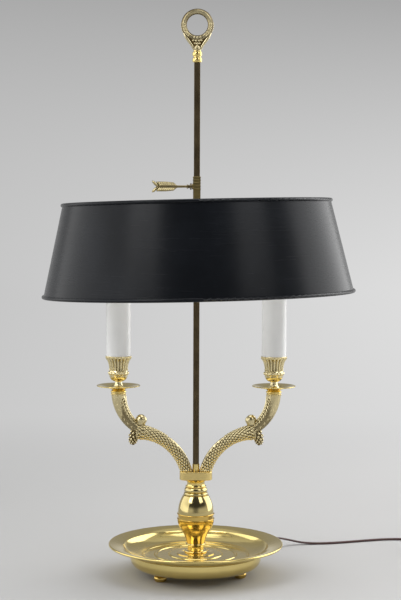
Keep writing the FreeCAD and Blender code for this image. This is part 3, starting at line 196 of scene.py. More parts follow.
# A shader value that adds Math nodes when it is used in an expression
class Signal:
    def __init__(self, finish, socket):
        self.finish = finish
        self.socket = socket

    def math(self, operation, *others):
        values = dict(enumerate((self, *others)))
        return self.finish.node("ShaderNodeMath", {"operation": operation}, values)

    def __add__(self, other):
        return self.math("ADD", other)

    def __sub__(self, other):
        return self.math("SUBTRACT", other)

    def __mul__(self, other):
        return self.math("MULTIPLY", other)

    def __neg__(self):
        return self.math("MULTIPLY", -1.0)

    def __radd__(self, other):
        return self + other

    def __rsub__(self, other):
        return (-self) + other

    def __rmul__(self, other):
        return self * other

    def clamp(self):
        return self.finish.node("ShaderNodeClamp", {}, {0: self})

    # 0 below low, 1 above high and a smooth rise between
    def step(self, low, high):
        settings = {"interpolation_type": "SMOOTHSTEP"}
        return self.finish.node("ShaderNodeMapRange", settings, {0: self, 1: low, 2: high, 3: 0.0, 4: 1.0})


class Finish:
    def __init__(self, name, tree=None):
        if tree is None:
            self.material = bpy.data.materials.new(name)
            self.material.use_nodes = True
            tree = self.material.node_tree
        self.tree = tree
        self.tree.nodes.clear()
        kind = "ShaderNodeOutputMaterial" if name else "ShaderNodeOutputWorld"
        self.output = self.tree.nodes.new(kind)

    # Any node: its settings first, then the values or links of its sockets, by name or by number
    def node(self, kind, settings, inputs, output=0):
        made = self.tree.nodes.new(kind)
        for name, value in settings.items():
            if name == "stops":
                ramp = made.color_ramp.elements
                while len(ramp) < len(value):
                    ramp.new(0.5)
                for element, (place, color) in zip(ramp, value):
                    element.position = place
                    element.color = (*color, 1)
            else:
                setattr(made, name, value)
        for name, value in inputs.items():
            if isinstance(value, Signal):
                self.tree.links.new(value.socket, made.inputs[name])
            else:
                made.inputs[name].default_value = value
        return Signal(self, made.outputs[output])

    def place(self):
        return self.node("ShaderNodeTexCoord", {}, {}, "Object")

    def split(self, vector):
        made = self.node("ShaderNodeSeparateXYZ", {}, {0: vector})
        sockets = made.socket.node.outputs
        return [Signal(self, sockets[k]) for k in range(3)]

    def join(self, x, y, z):
        return self.node("ShaderNodeCombineXYZ", {}, {0: x, 1: y, 2: z})

    def noise(self, vector, scale, detail=3.0):
        inputs = {"Vector": vector, "Scale": scale, "Detail": detail, "Roughness": 0.55}
        return self.node("ShaderNodeTexNoise", {}, inputs)

    def mix(self, share, first, second):
        first, second = ((*c, 1) if isinstance(c, tuple) and len(c) == 3 else c for c in (first, second))
        return self.node("ShaderNodeMix", {"data_type": "RGBA"}, {0: share, 6: first, 7: second}, 2)

    def bump(self, height, strength, distance):
        inputs = {"Height": height, "Strength": strength, "Distance": distance}
        return self.node("ShaderNodeBump", {}, inputs)

    def end(self, shader):
        self.tree.links.new(shader.socket, self.output.inputs["Surface"])

    def surface(self, **inputs):
        named = {name.replace("_", " "): value for name, value in inputs.items()}
        self.end(self.node("ShaderNodeBsdfPrincipled", {}, named))
        return self.material


# Studio: a pale sweep, a wide soft box at each side, one above and two high in front
studio = {
    # the floor's two colours carry painted light: darker to the left, lighter to the right
    "floorLeftPaintedShade": (0.50, 0.50, 0.495),
    "floorRightPaintedLight": (0.61, 0.605, 0.60),
    "floorBlend": 1.2,
    "floorSize": (14, 8.6),
    "floorBack": 1.8,  # where the middle of the floor lies, behind the lamp
    "bendSteps": 8,
    "bendStep": 0.22,
    "wallHeight": 5,
    "wallLow": 0.66,
    "wallFade": (0.079, 0.129),  # how fast the wall darkens with its height, and with the height squared
    "wallRight": (0.17, 0.0135),  # how much brighter it grows to the right in each metre, near and far
    "sideLimit": 1.1,  # past this distance from the middle the wall's tone stays the same
    "sideFade": 0.95,  # how fast that brightening fades with height
    "wallRange": (0.33, 0.95),
    "eyeLevel": 0.483,
    "wallScale": 0.643,
    "glowBehind": (0.30, 1.5),  # the paper passes into its glow, a painted fall-off of light, over this way back and up
    "glowBeside": (1.2, 2.2),  # and over this way to each side
    "skyFront": 0.035,
    "skyBack": 0.60,
    "skyTurn": (0.42, 0.16),  # how much of the room's tone goes with looking back, and with looking up
    "skyLow": 0.66,  # the table and room low in front
    "lowTop": (0.12, 0.34),
    "lowBack": (-0.3, 0.4),
    "lowAside": (0.08, 0.5),
    "aim": (0, 0, 0.35),
    "lights": {
        "leftBox": {"place": (-1.60, -0.05, 0.70), "size": (2.6, 1.6), "power": 15},
        "rightBox": {"place": (1.50, 0.70, 0.80), "size": (2.0, 1.7), "power": 22},
        "overhead": {"place": (0.1, 0.15, 2.3), "size": (2.0, 1.6), "power": 17},
        "frontLeft": {"place": (-1.35, -1.35, 1.80), "size": (1.0, 1.2), "power": 15},
        "frontRight": {"place": (1.30, -1.30, 1.80), "size": (1.0, 1.2), "power": 10},
    },
}


def deselect():
    if bpy.context.object and bpy.context.object.mode == "EDIT":
        bpy.ops.object.mode_set(mode="OBJECT")
    bpy.ops.object.select_all(action="DESELECT")


def leaveEdit():
    bpy.ops.mesh.select_all(action="SELECT")
    bpy.ops.mesh.normals_make_consistent(inside=False)
    bpy.ops.object.mode_set(mode="OBJECT")


def makeSweep():
    s = studio
    deselect()
    bpy.ops.mesh.primitive_plane_add(size=1, location=(0, 0, 0))
    sweep = bpy.context.object
    sweep.name = "sweep"
    bpy.ops.object.mode_set(mode="EDIT")
    bpy.ops.transform.resize(value=(*s["floorSize"], 1))
    bpy.ops.transform.translate(value=(0, s["floorBack"], 0))
    bpy.ops.mesh.select_mode(type="EDGE")
    bpy.ops.mesh.select_all(action="DESELECT")
    mesh = bmesh.from_edit_mesh(sweep.data)
    for edge in mesh.edges:
        edge.select_set(all(v.co.y > s["floorBack"] for v in edge.verts))
    bmesh.update_edit_mesh(sweep.data)
    for k in range(s["bendSteps"]):
        angle = math.radians(90) * (k + 0.5) / s["bendSteps"]
        step = (0, s["bendStep"] * math.cos(angle), s["bendStep"] * math.sin(angle))
        bpy.ops.mesh.extrude_region_move(TRANSFORM_OT_translate={"value": step})
    bpy.ops.mesh.extrude_region_move(TRANSFORM_OT_translate={"value": (0, 0, s["wallHeight"])})
    leaveEdit()
    bpy.ops.object.shade_smooth()
    finish = Finish("sweepPaper")
    x, y, z = finish.split(finish.place())
    # painted light on the floor: its colour runs from darker on the left to lighter on the right
    floorPaintedLight = finish.mix((x * s["floorBlend"] + 0.5).clamp(), s["floorLeftPaintedShade"], s["floorRightPaintedLight"])
    paper = finish.node("ShaderNodeBsdfDiffuse", {}, {"Color": floorPaintedLight})
    slow, fast = s["wallFade"]
    rightNear, rightFade = s["wallRight"]
    darkest, palest = s["wallRange"]
    # the wall's glow paints the fall-off of the studio's light: darker with height and lighter to the right
    rise = z * s["wallScale"] + s["eyeLevel"] * (1 - s["wallScale"])
    sideways = x.math("MINIMUM", s["sideLimit"]).math("MAXIMUM", -s["sideLimit"])
    sideways = sideways * (rightNear - y * rightFade) * (1 - rise * s["sideFade"])
    tone = s["wallLow"] - rise * slow - rise * rise * fast + sideways
    tone = tone.math("MAXIMUM", darkest).math("MINIMUM", palest)
    glow = finish.node("ShaderNodeEmission", {}, {"Color": (1, 1, 1, 1), "Strength": tone})
    rays = ("Camera", "Glossy", "Transmission")
    seen = [finish.node("ShaderNodeLightPath", {}, {}, f"Is {ray} Ray") for ray in rays]
    shown = (seen[0] + seen[1] + seen[2]).clamp()
    far = (y + z).step(*s["glowBehind"]).math("MAXIMUM", x.math("ABSOLUTE").step(*s["glowBeside"]))
    finish.end(finish.node("ShaderNodeMixShader", {}, {0: shown * far, 1: paper, 2: glow}))
    sweep.data.materials.append(finish.material)


def makeLight(name, setup):
    deselect()
    bpy.ops.object.light_add(type="AREA", location=setup["place"])
    light = bpy.context.object
    light.name = name
    light.data.shape = "RECTANGLE"
    light.data.size, light.data.size_y = setup["size"]
    light.data.energy = setup["power"]
    sight = Vector(studio["aim"]) - light.location
    light.rotation_euler = sight.to_track_quat("-Z", "Y").to_euler()


# The room is dark on the camera's side and pale behind the lamp, with a pale band low in front
def makeWorld():
    world = bpy.data.worlds.new("studioAir")
    scene.world = world
    world.use_nodes = True
    finish = Finish("", world.node_tree)
    x, y, z = finish.split(finish.node("ShaderNodeTexCoord", {}, {}, "Generated"))
    s = studio
    dark, pale = s["skyFront"], s["skyBack"]
    back, up = s["skyTurn"]
    stops = [
        (0.0, (dark, dark, dark)), (0.38, (dark * 2, dark * 2, dark * 2.1)),
        (0.60, (pale * 0.7,) * 3), (1.0, (pale,) * 3),
    ]
    room = finish.node("ShaderNodeValToRGB", {"stops": stops}, {0: y * back + z * up + 0.5})
    aside = x.math("ABSOLUTE").step(*s["lowAside"]) * 0.7 + 0.3
    low = (1 - z.step(*s["lowTop"])) * (1 - y.step(*s["lowBack"])) * aside * s["skyLow"]
    room = finish.mix(low, room, (1, 1, 1))
    seen = finish.node("ShaderNodeLightPath", {}, {}, "Is Camera Ray")
    room = finish.mix(seen, room, (pale, pale, pale))
    finish.end(finish.node("ShaderNodeBackground", {}, {"Color": room, "Strength": 1.0}))


makeSweep()
makeWorld()
for name, setup in studio["lights"].items():
    makeLight(name, setup)
print("studio set")


# Finishes of the metal: polished where turned; where cast, darker in the hollows and with painted shade on
# some pieces
def brass(name, color=(0.80, 0.62, 0.235), rough=0.10, grain=0.010, mottle=0.35):
    finish = Finish(name)
    place = finish.place()
    cloud = finish.noise(place, 38, 4)
    fine = finish.noise(place, 900, 2)
    worn = tuple(c * 0.82 for c in color)
    tone = finish.mix(cloud.step(0.35, 0.75) * mottle, color, worn)
    normal = finish.bump(fine + cloud * 3.0, 0.05, grain * mm)
    roughness = rough + cloud * 0.05 + fine * 0.03
    return finish.surface(Base_Color=tone, Metallic=1.0, Roughness=roughness, Normal=normal)


# Spun brass: fine rings round the axis that the tool left
def spunBrass(name, color=(0.80, 0.64, 0.25), rough=0.09):
    finish = Finish(name)
    place = finish.place()
    x, y, z = finish.split(place)
    out = (x * x + y * y).math("SQRT")
    rings = finish.noise(finish.join(out, z, 0.0), 700, 2)
    cloud = finish.noise(place, 26, 4)
    tone = finish.mix(cloud.step(0.35, 0.8) * 0.4, color, tuple(c * 0.84 for c in color))
    normal = finish.bump(rings, 0.05, 0.006 * mm)
    roughness = rough + rings * 0.05 + cloud * 0.04
    return finish.surface(Base_Color=tone, Metallic=1.0, Roughness=roughness, Normal=normal)


# Cast brass: a vertex attribute is 1 in the dark ground of the relief and 0 on its bright tops, and on some
# pieces it also carries painted shade
def castBrass(name, color=(0.80, 0.69, 0.40), dark=(0.085, 0.055, 0.018), rough=0.16):
    finish = Finish(name)
    place = finish.place()
    hollow = finish.node("ShaderNodeAttribute", {"attribute_name": "hollow"}, {}, "Fac")
    cloud = finish.noise(place, 60, 4)
    fine = finish.noise(place, 1500, 3)
    # the relief's dark ground and the painted shade, with a random cloud, mix in the dark colour
    shadeAndGroundMix = (hollow * 1.25 + cloud * 0.6 - 0.32).clamp()
    tone = finish.mix(shadeAndGroundMix, color, dark)
    normal = finish.bump(fine + cloud * 2.0, 0.22, 0.05 * mm)
    roughness = rough + shadeAndGroundMix * 0.25 + fine * 0.05
    return finish.surface(Base_Color=tone, Metallic=1.0, Roughness=roughness, Normal=normal)


# A finish of one colour, a little uneven in tone, gloss and grain
def plain(name, color, rough, metallic=0.0, grain=600, depth=0.0001, variation=0.12):
    finish = Finish(name)
    place = finish.place()
    fine = finish.noise(place, grain, 3)
    cloud = finish.noise(place, 25, 3)
    tone = finish.mix(cloud.step(0.3, 0.7), color, tuple(c * (1 - variation) for c in color))
    normal = finish.bump(fine, 0.25, depth)
    return finish.surface(Base_Color=tone, Metallic=metallic, Roughness=rough + fine * 0.08, Normal=normal)


# Darkened stem metal, brushed along its length
def stemBronze(name):
    finish = Finish(name)
    place = finish.place()
    x, y, z = finish.split(place)
    brushed = finish.noise(finish.join(x * 30, y * 30, z), 60, 3)
    cloud = finish.noise(place, 45, 4)
    dark = finish.mix(cloud.step(0.3, 0.75), (0.105, 0.078, 0.042), (0.060, 0.043, 0.024))
    tone = finish.mix(brushed.step(0.35, 0.8) * 0.5, dark, (0.20, 0.15, 0.075))
    normal = finish.bump(brushed, 0.15, 0.03 * mm)
    return finish.surface(Base_Color=tone, Metallic=0.9, Roughness=0.34 + brushed * 0.15, Normal=normal)


# Satin black paint outside and warm white inside, told apart by distance from the shade's own axis
shadeFinish = {
    "pivot": 0.459, "roll": 1.45, "pitch": 1.35,
    "topRadius": 0.1651, "bottomRadius": 0.1911, "topRise": 0.0057, "drop": 0.1117,
    "skin": 0.0005,  # how far inside the outer face the two paints meet
    "blend": 0.00012,
    "bead": (0.0012, 0.0008),  # the paint also turns black this near to an edge
    "outside": (0.0065, 0.0075, 0.0095), "inside": (0.78, 0.76, 0.70),
}


def shadePaint():
    s = shadeFinish
    finish = Finish("shadePaint")
    place = finish.place()
    x, y, z = finish.split(place)
    roll, pitch = math.radians(s["roll"]), math.radians(s["pitch"])
    up = z - s["pivot"]
    turn = Matrix.Rotation(-roll, 3, "Y") @ Matrix.Rotation(-pitch, 3, "X")
    own = [x * turn[0][k] + y * turn[1][k] + up * turn[2][k] for k in range(3)]
    out = (own[0] * own[0] + own[1] * own[1]).math("SQRT")
    slope = (s["bottomRadius"] - s["topRadius"]) / s["drop"]
    wall = (s["topRise"] - own[2]) * slope + s["topRadius"] - s["skin"]
    outer = (out - wall).step(-s["blend"], s["blend"])
    half = s["drop"] / 2
    middle = s["topRise"] - half
    edge = (own[2] - middle).math("ABSOLUTE").step(half - s["bead"][0], half - s["bead"][1])
    black = (outer + edge).clamp()
    fine = finish.noise(place, 1400, 2)
    cloud = finish.noise(place, 14, 4)
    streak = finish.noise(finish.join(x * 0.2, y * 0.2, z * 6.0), 60, 3)
    ink = finish.mix(cloud.step(0.3, 0.75), s["outside"], tuple(c * 1.7 for c in s["outside"]))
    tone = finish.mix(black, s["inside"], ink)
    rough = black * (0.20 + streak * 0.08 + cloud * 0.05) + (1 - black) * 0.55
    normal = finish.bump(fine * 0.6 + streak, 0.12, 0.25 * mm)
    return finish.surface(Base_Color=tone, Roughness=rough, Specular_IOR_Level=0.17, Normal=normal)


def glassFinish(name):
    finish = Finish(name)
    cloud = finish.noise(finish.place(), 60, 2)
    return finish.surface(
        Base_Color=(0.98, 0.97, 0.94, 1), Roughness=0.03 + cloud * 0.02, Transmission_Weight=1.0, IOR=1.45,
    )


finishes = {
    "brass": brass("polishedBrass"),
    "spun": spunBrass("spunBrass"),
    "cast": castBrass("castBrass"),
    "gold": brass("redderBrass", color=(0.66, 0.46, 0.13)),
    # a darker copy of the polished brass: painted shade on the urn's egg, its neck bead and base ring
    "paintedShadeBrass": brass("brassWithPaintedShade", color=(0.60, 0.49, 0.22), rough=0.07),
    # a darker copy of the cast brass: painted shade on the ring finial
    "ring": castBrass("ringBrassWithPaintedShade", color=(0.70, 0.61, 0.37)),
    "key": castBrass("keyBrass", color=(0.62, 0.53, 0.30)),
    "hub": brass("hubBrass", color=(0.78, 0.61, 0.25), rough=0.17, grain=0.03),
    "bronze": stemBronze("darkBronze"),
    "slider": brass("sliderBronze", color=(0.30, 0.235, 0.10), rough=0.24, mottle=0.9),
    "shade": shadePaint(),
    "blackPaint": plain("blackPaint", (0.012, 0.012, 0.014), 0.4),
    "steel": plain("zincSteel", (0.55, 0.55, 0.56), 0.32, 1.0),
    "iron": plain("castIron", (0.10, 0.10, 0.10), 0.6, 0.6, 200, 0.0006),
    "candle": plain("candleWhite", (0.87, 0.875, 0.87), 0.20, 0.0, 300, 0.00005, 0.05),
    "holder": plain("holderBlack", (0.02, 0.02, 0.02), 0.35),
    "capMetal": plain("capMetal", (0.70, 0.70, 0.71), 0.25, 1.0),
    "glass": glassFinish("bulbGlass"),
    "cord": plain("cordBrown", (0.075, 0.030, 0.028), 0.38, 0.0, 900, 0.00008),
    "moulded": plain("mouldedBrown", (0.045, 0.022, 0.018), 0.42, 0.0, 700, 0.0002),
}
wears = {
    "spun": ["tray", "base_bowl", "bobeche_left", "bobeche_right"],
    "gold": ["urn_lower", "urn_band", "foot_right", "foot_left", "foot_back"],
    "paintedShadeBrass": ["urn_upper", "neck_bead", "urn_base_ring"],
    "brass": ["urn_foot", "hub_neck", "stem_collar", "slider_nut", "finial_ferrule", "arm_ferrule_left",
              "arm_ferrule_right", "screw_shell_left", "screw_shell_right", "plug_blades"],
    "hub": ["arm_hub"],
    "cast": ["arm_left", "arm_right", "candle_cup_left", "candle_cup_right", "ring_finial", "arrow_key"],
    "bronze": ["stem_rod"],
    "slider": ["shade_slider"],
    "shade": ["shade_shell"],
    "blackPaint": ["shade_spider"],
    "steel": ["foot_nuts", "pipe_nut", "pipe_washer", "centre_pipe", "lamp_nipple_left", "lamp_nipple_right"],
    "iron": ["base_weight"],
    "candle": ["candle_sleeve_left", "candle_sleeve_right"],
    "holder": ["lamp_holder_left", "lamp_holder_right"],
    "capMetal": ["bulb_cap_left", "bulb_cap_right"],
    "glass": ["bulb_glass_left", "bulb_glass_right"],
    "cord": ["strain_relief"],
    "moulded": ["switch_base", "switch_cover", "switch_wheel", "plug_body"],
}
for finishName, names in wears.items():
    for name in names:
        for materialSlot in nodes[name].material_slots:
            materialSlot.material = finishes[finishName]
cordPiece.data.materials.append(finishes["cord"])
print("finishes given")


# Tools that shape a piece in edit mode. Sizes are in millimetres until finishPiece scales them.
def startMesh(name, kind, **how):
    deselect()
    getattr(bpy.ops.mesh, f"primitive_{kind}_add")(**how)
    piece = bpy.context.object
    piece.name = name
    bpy.ops.object.transform_apply(location=True, rotation=True, scale=True)
    return piece


def edit():
    bpy.ops.object.mode_set(mode="EDIT")
    bpy.ops.mesh.select_mode(type="VERT")
    bpy.ops.mesh.select_all(action="SELECT")


# Sets the attribute that darkens cast brass: the relief's ground, and painted shade where a rule gives it by
# place
def markGroundAndShade(piece, rule):
    layer = piece.data.attributes.get("hollow") or piece.data.attributes.new("hollow", "FLOAT", "POINT")
    for vertex, item in zip(piece.data.vertices, layer.data):
        item.value = rule(vertex.co)


# A tube through stations (x, z, radius, heading): a disc that is extruded, moved, turned and resized
def sweptTube(name, stations, sides=20, squash=1.0):
    x, z, radius, heading = stations[0]
    turn = (0, math.radians(90 - heading), 0)
    disc = {"vertices": sides, "radius": radius, "fill_type": "NGON"}
    piece = startMesh(name, "circle", location=(x, 0, z), rotation=turn, **disc)
    edit()
    for nextX, nextZ, nextRadius, nextHeading in stations[1:]:
        bpy.ops.mesh.extrude_region_move(TRANSFORM_OT_translate={"value": (nextX - x, 0, nextZ - z)})
        centre = (nextX, 0, nextZ)
        ratio = nextRadius / radius
        bpy.ops.transform.resize(value=(ratio, ratio, ratio), center_override=centre)
        bend = math.radians(nextHeading - heading)
        bpy.ops.transform.rotate(value=bend, orient_axis="Y", orient_type="GLOBAL", center_override=centre)
        x, z, radius, heading = nextX, nextZ, nextRadius, nextHeading
    bpy.ops.mesh.select_all(action="SELECT")
    bpy.ops.transform.resize(value=(1, squash, 1), center_override=(0, 0, 0))
    leaveEdit()
    return piece


# Points of an outline (radius, height) where a third number is the bulge of the arc that leads there
def outlinePoints(outline, parts=6):
    points = [Vector(outline[0][:2])]
    for spot in outline[1:]:
        end = Vector(spot[:2])
        start = points[-1]
        if len(spot) == 2:
            points.append(end)
            continue
        bulge = spot[2]
        chord = end - start
        left = Vector((-chord.y, chord.x)).normalized()
        radius = chord.length * (1 + bulge * bulge) / (4 * abs(bulge))
        centre = (start + end) / 2 + left * (bulge * chord.length / 2 - math.copysign(radius, bulge))
        for k in range(1, parts + 1):
            turn = Matrix.Rotation(-4 * math.atan(bulge) * k / parts, 2)
            points.append(centre + turn @ (start - centre))
    return points


# A turned piece: one point is extruded along the outline and spun round the Z axis
def turnedMesh(name, outline, steps=64, parts=6, closed=False):
    points = outlinePoints(outline, parts)
    if closed:
        points.append(points[0])
    piece = startMesh(name, "plane", size=0.01, location=(points[0].x, 0, points[0].y))
    edit()
    bpy.ops.mesh.merge(type="CENTER")
    for before, after in zip(points, points[1:]):
        step = (after.x - before.x, 0, after.y - before.y)
        bpy.ops.mesh.extrude_vertices_move(TRANSFORM_OT_translate={"value": step})
    bpy.ops.mesh.select_all(action="SELECT")
    bpy.ops.mesh.spin(steps=steps, angle=math.tau, center=(0, 0, 0), axis=(0, 0, 1))
    bpy.ops.mesh.select_all(action="SELECT")
    bpy.ops.mesh.remove_doubles(threshold=0.001)
    leaveEdit()
    return piece


def joinAll(piece, others):
    deselect()
    for other in others:
        other.select_set(True)
    piece.select_set(True)
    bpy.context.view_layer.objects.active = piece
    bpy.ops.object.join()


def placedCopy(master, place):
    copy = master.copy()
    copy.data = master.data.copy()
    copy.data.transform(place)
    scene.collection.objects.link(copy)
    return copy


# Copies of one small shape, each with its own mesh, joined to a piece in place of the shape itself
def addCopies(piece, master, places):
    joinAll(piece, [placedCopy(master, place) for place in places])
    bpy.data.objects.remove(master)


smoothAngle = math.radians(38)
halfTurn = Matrix.Rotation(math.pi, 4, "Z")


# Scales to metres, smooths, gives the finish, attaches the piece to its body and hides the node it replaces
def finishPiece(piece, node, finish, body="base"):
    piece.data.transform(Matrix.Scale(mm, 4))
    deselect()
    piece.select_set(True)
    bpy.context.view_layer.objects.active = piece
    bpy.ops.object.shade_smooth_by_angle(angle=smoothAngle)
    piece.data.materials.clear()
    piece.data.materials.append(finishes[finish])
    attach(piece, body)
    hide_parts(node)


# A pointed scale with its length along Y and its bright crown up along Z
def scaleMaster(name, width, length, height):
    piece = startMesh(name, "circle", vertices=8, radius=1, fill_type="NGON", location=(0, 0, 0))
    edit()
    bpy.ops.transform.resize(value=(width / 2, length / 2, 1), center_override=(0, 0, 0))
    for rise, ratio, slide in ((0.55, 0.86, 0.02), (0.30, 0.66, 0.05), (0.15, 0.36, 0.06)):
        step = (0, length * slide, height * rise)
        bpy.ops.mesh.extrude_region_move(TRANSFORM_OT_translate={"value": step})
        bpy.ops.transform.resize(value=(ratio, ratio, 1), center_override=(0, length * slide, 0))
    leaveEdit()
    markGroundAndShade(piece, lambda co: 1.0 if co.z < height * 0.2 else 0.45 if co.z < height * 0.6 else 0.0)
    return piece


def beadMaster(name, radius, flat=0.8):
    piece = startMesh(name, "uv_sphere", segments=10, ring_count=6, radius=radius, location=(0, 0, 0))
    edit()
    bpy.ops.transform.resize(value=(1, 1, flat), center_override=(0, 0, 0))
    bpy.ops.object.mode_set(mode="OBJECT")
    markGroundAndShade(piece, lambda co: 0.7 if co.z < radius * 0.05 else 0.0)
    return piece


# A turn that points the Y axis along and the Z axis along the normal
def facing(along, normal):
    return Matrix((along.cross(normal), along, normal)).transposed().to_4x4()


# The place of a small shape on a tube: around is 0 on the inner, upper side and 90 at the front
def onTube(station, around, size=1.0, tilt=0.0, twist=0.0, sink=0.0):
    x, z, radius, heading = station
    h, a = math.radians(heading), math.radians(around)
    along = Vector((math.cos(h), 0, math.sin(h)))
    normal = Vector((-math.sin(h), 0, math.cos(h))) * math.cos(a) + Vector((0, -1, 0)) * math.sin(a)
    spot = Vector((x, 0, z)) + normal * (radius - sink)
    local = Matrix.Rotation(math.radians(twist), 4, "Z") @ Matrix.Rotation(math.radians(tilt), 4, "X")
    return Matrix.Translation(spot) @ facing(along, normal) @ local @ Matrix.Scale(size, 4)


# Arms: a horn of overlapping scales, a leafy husk with a bud above and a hooked leaf below, a veined stalk
armShape = {
    "rootOut": 12.2, "rootRadius": 6.9, "hubTop": 130.9,
    "hornSize": 66.5, "hornLean": 75, "hornTurn": 66, "hornGrow": 0.1, "hornFlare": 1.4,
    "stalkOut": 96.5, "stalkTop": 228, "stalkSize": 52.5, "stalkTurn": 62, "stalkRadius": (6, 9),
    "skin": 0.65,  # how far the dark ground lies under the tops of the scales
    "hornRows": 23, "hornAround": 13, "huskAround": 13, "hookAround": 8,
    "ridgeEnd": 0.60, "ridgeSquash": 1.45,
    "scale": (3.5, 4.8, 1.55), "leaf": (2.5, 6.4, 1.05),  # width, length and height
    "bead": 1.15, "topBeads": 22, "rootBeads": 18,
    "mouth": [(66.0, 179.4, 8.4, 9), (69.0, 179.9, 8.6, 9), (71.2, 180.3, 8.2, 9), (72.2, 180.5, 7.0, 9)],
    "lobes": (70.8, 182.8, 6.9, 26),
    "bud": [
        (69.1, 183.5, 5.2, 85), (69.0, 187.5, 5.0, 88), (68.7, 190.5, 5.7, 92), (68.3, 193.5, 6.9, 97),
        (67.8, 196.3, 7.1, 102), (67.2, 198.8, 5.9, 106), (66.8, 200.5, 4.0, 109), (66.5, 201.4, 1.5, 110),
    ],
    "hook": [
        (68.5, 182.5, 6.6, -10), (72.4, 180.9, 6.6, -33), (75.8, 177.6, 6.2, -58), (77.8, 173.4, 5.7, -78),
        (78.5, 169.6, 5.1, -90), (78.4, 166.6, 4.3, -97), (78.1, 164.6, 3.1, -100), (77.9, 163.4, 1.3, -100),
    ],
}


def hornStation(t):
    s = armShape
    heading = s["hornLean"] - s["hornTurn"] * t
    lean, h = math.radians(s["hornLean"]), math.radians(heading)
    x = s["rootOut"] + s["hornSize"] * (math.sin(lean) - math.sin(h))
    z = s["hubTop"] + s["hornSize"] * (math.cos(h) - math.cos(lean))
    radius = s["rootRadius"] + s["hornGrow"] * min(t * 2, 1) + s["hornFlare"] * max(0, t - 0.5) ** 2 * 4
    return x, z, radius, heading


def stalkStation(t):
    s = armShape
    heading = 90 - s["stalkTurn"] * (1 - t)
    h = math.radians(heading)
    x = s["stalkOut"] - s["stalkSize"] * (1 - math.sin(h))
    z = s["stalkTop"] - s["stalkSize"] * math.cos(h)
    thin, thick = s["stalkRadius"]
    return x, z, thin + (thick - thin) * t, heading


def shrunk(station, by):
    x, z, radius, heading = station
    return x, z, radius - by, heading


# A thin rail along a tube's upper side, this far above its skin
def above(station, lift, thickness):
    x, z, radius, heading = station
    h = math.radians(heading)
    return x - math.sin(h) * (radius + lift), z + math.cos(h) * (radius + lift), thickness, heading


# The station at a share of the way along a list of stations
def between(stations, t):
    place = t * (len(stations) - 1)
    k = min(int(place), len(stations) - 2)
    share = place - k
    return tuple(a + (b - a) * share for a, b in zip(stations[k], stations[k + 1]))


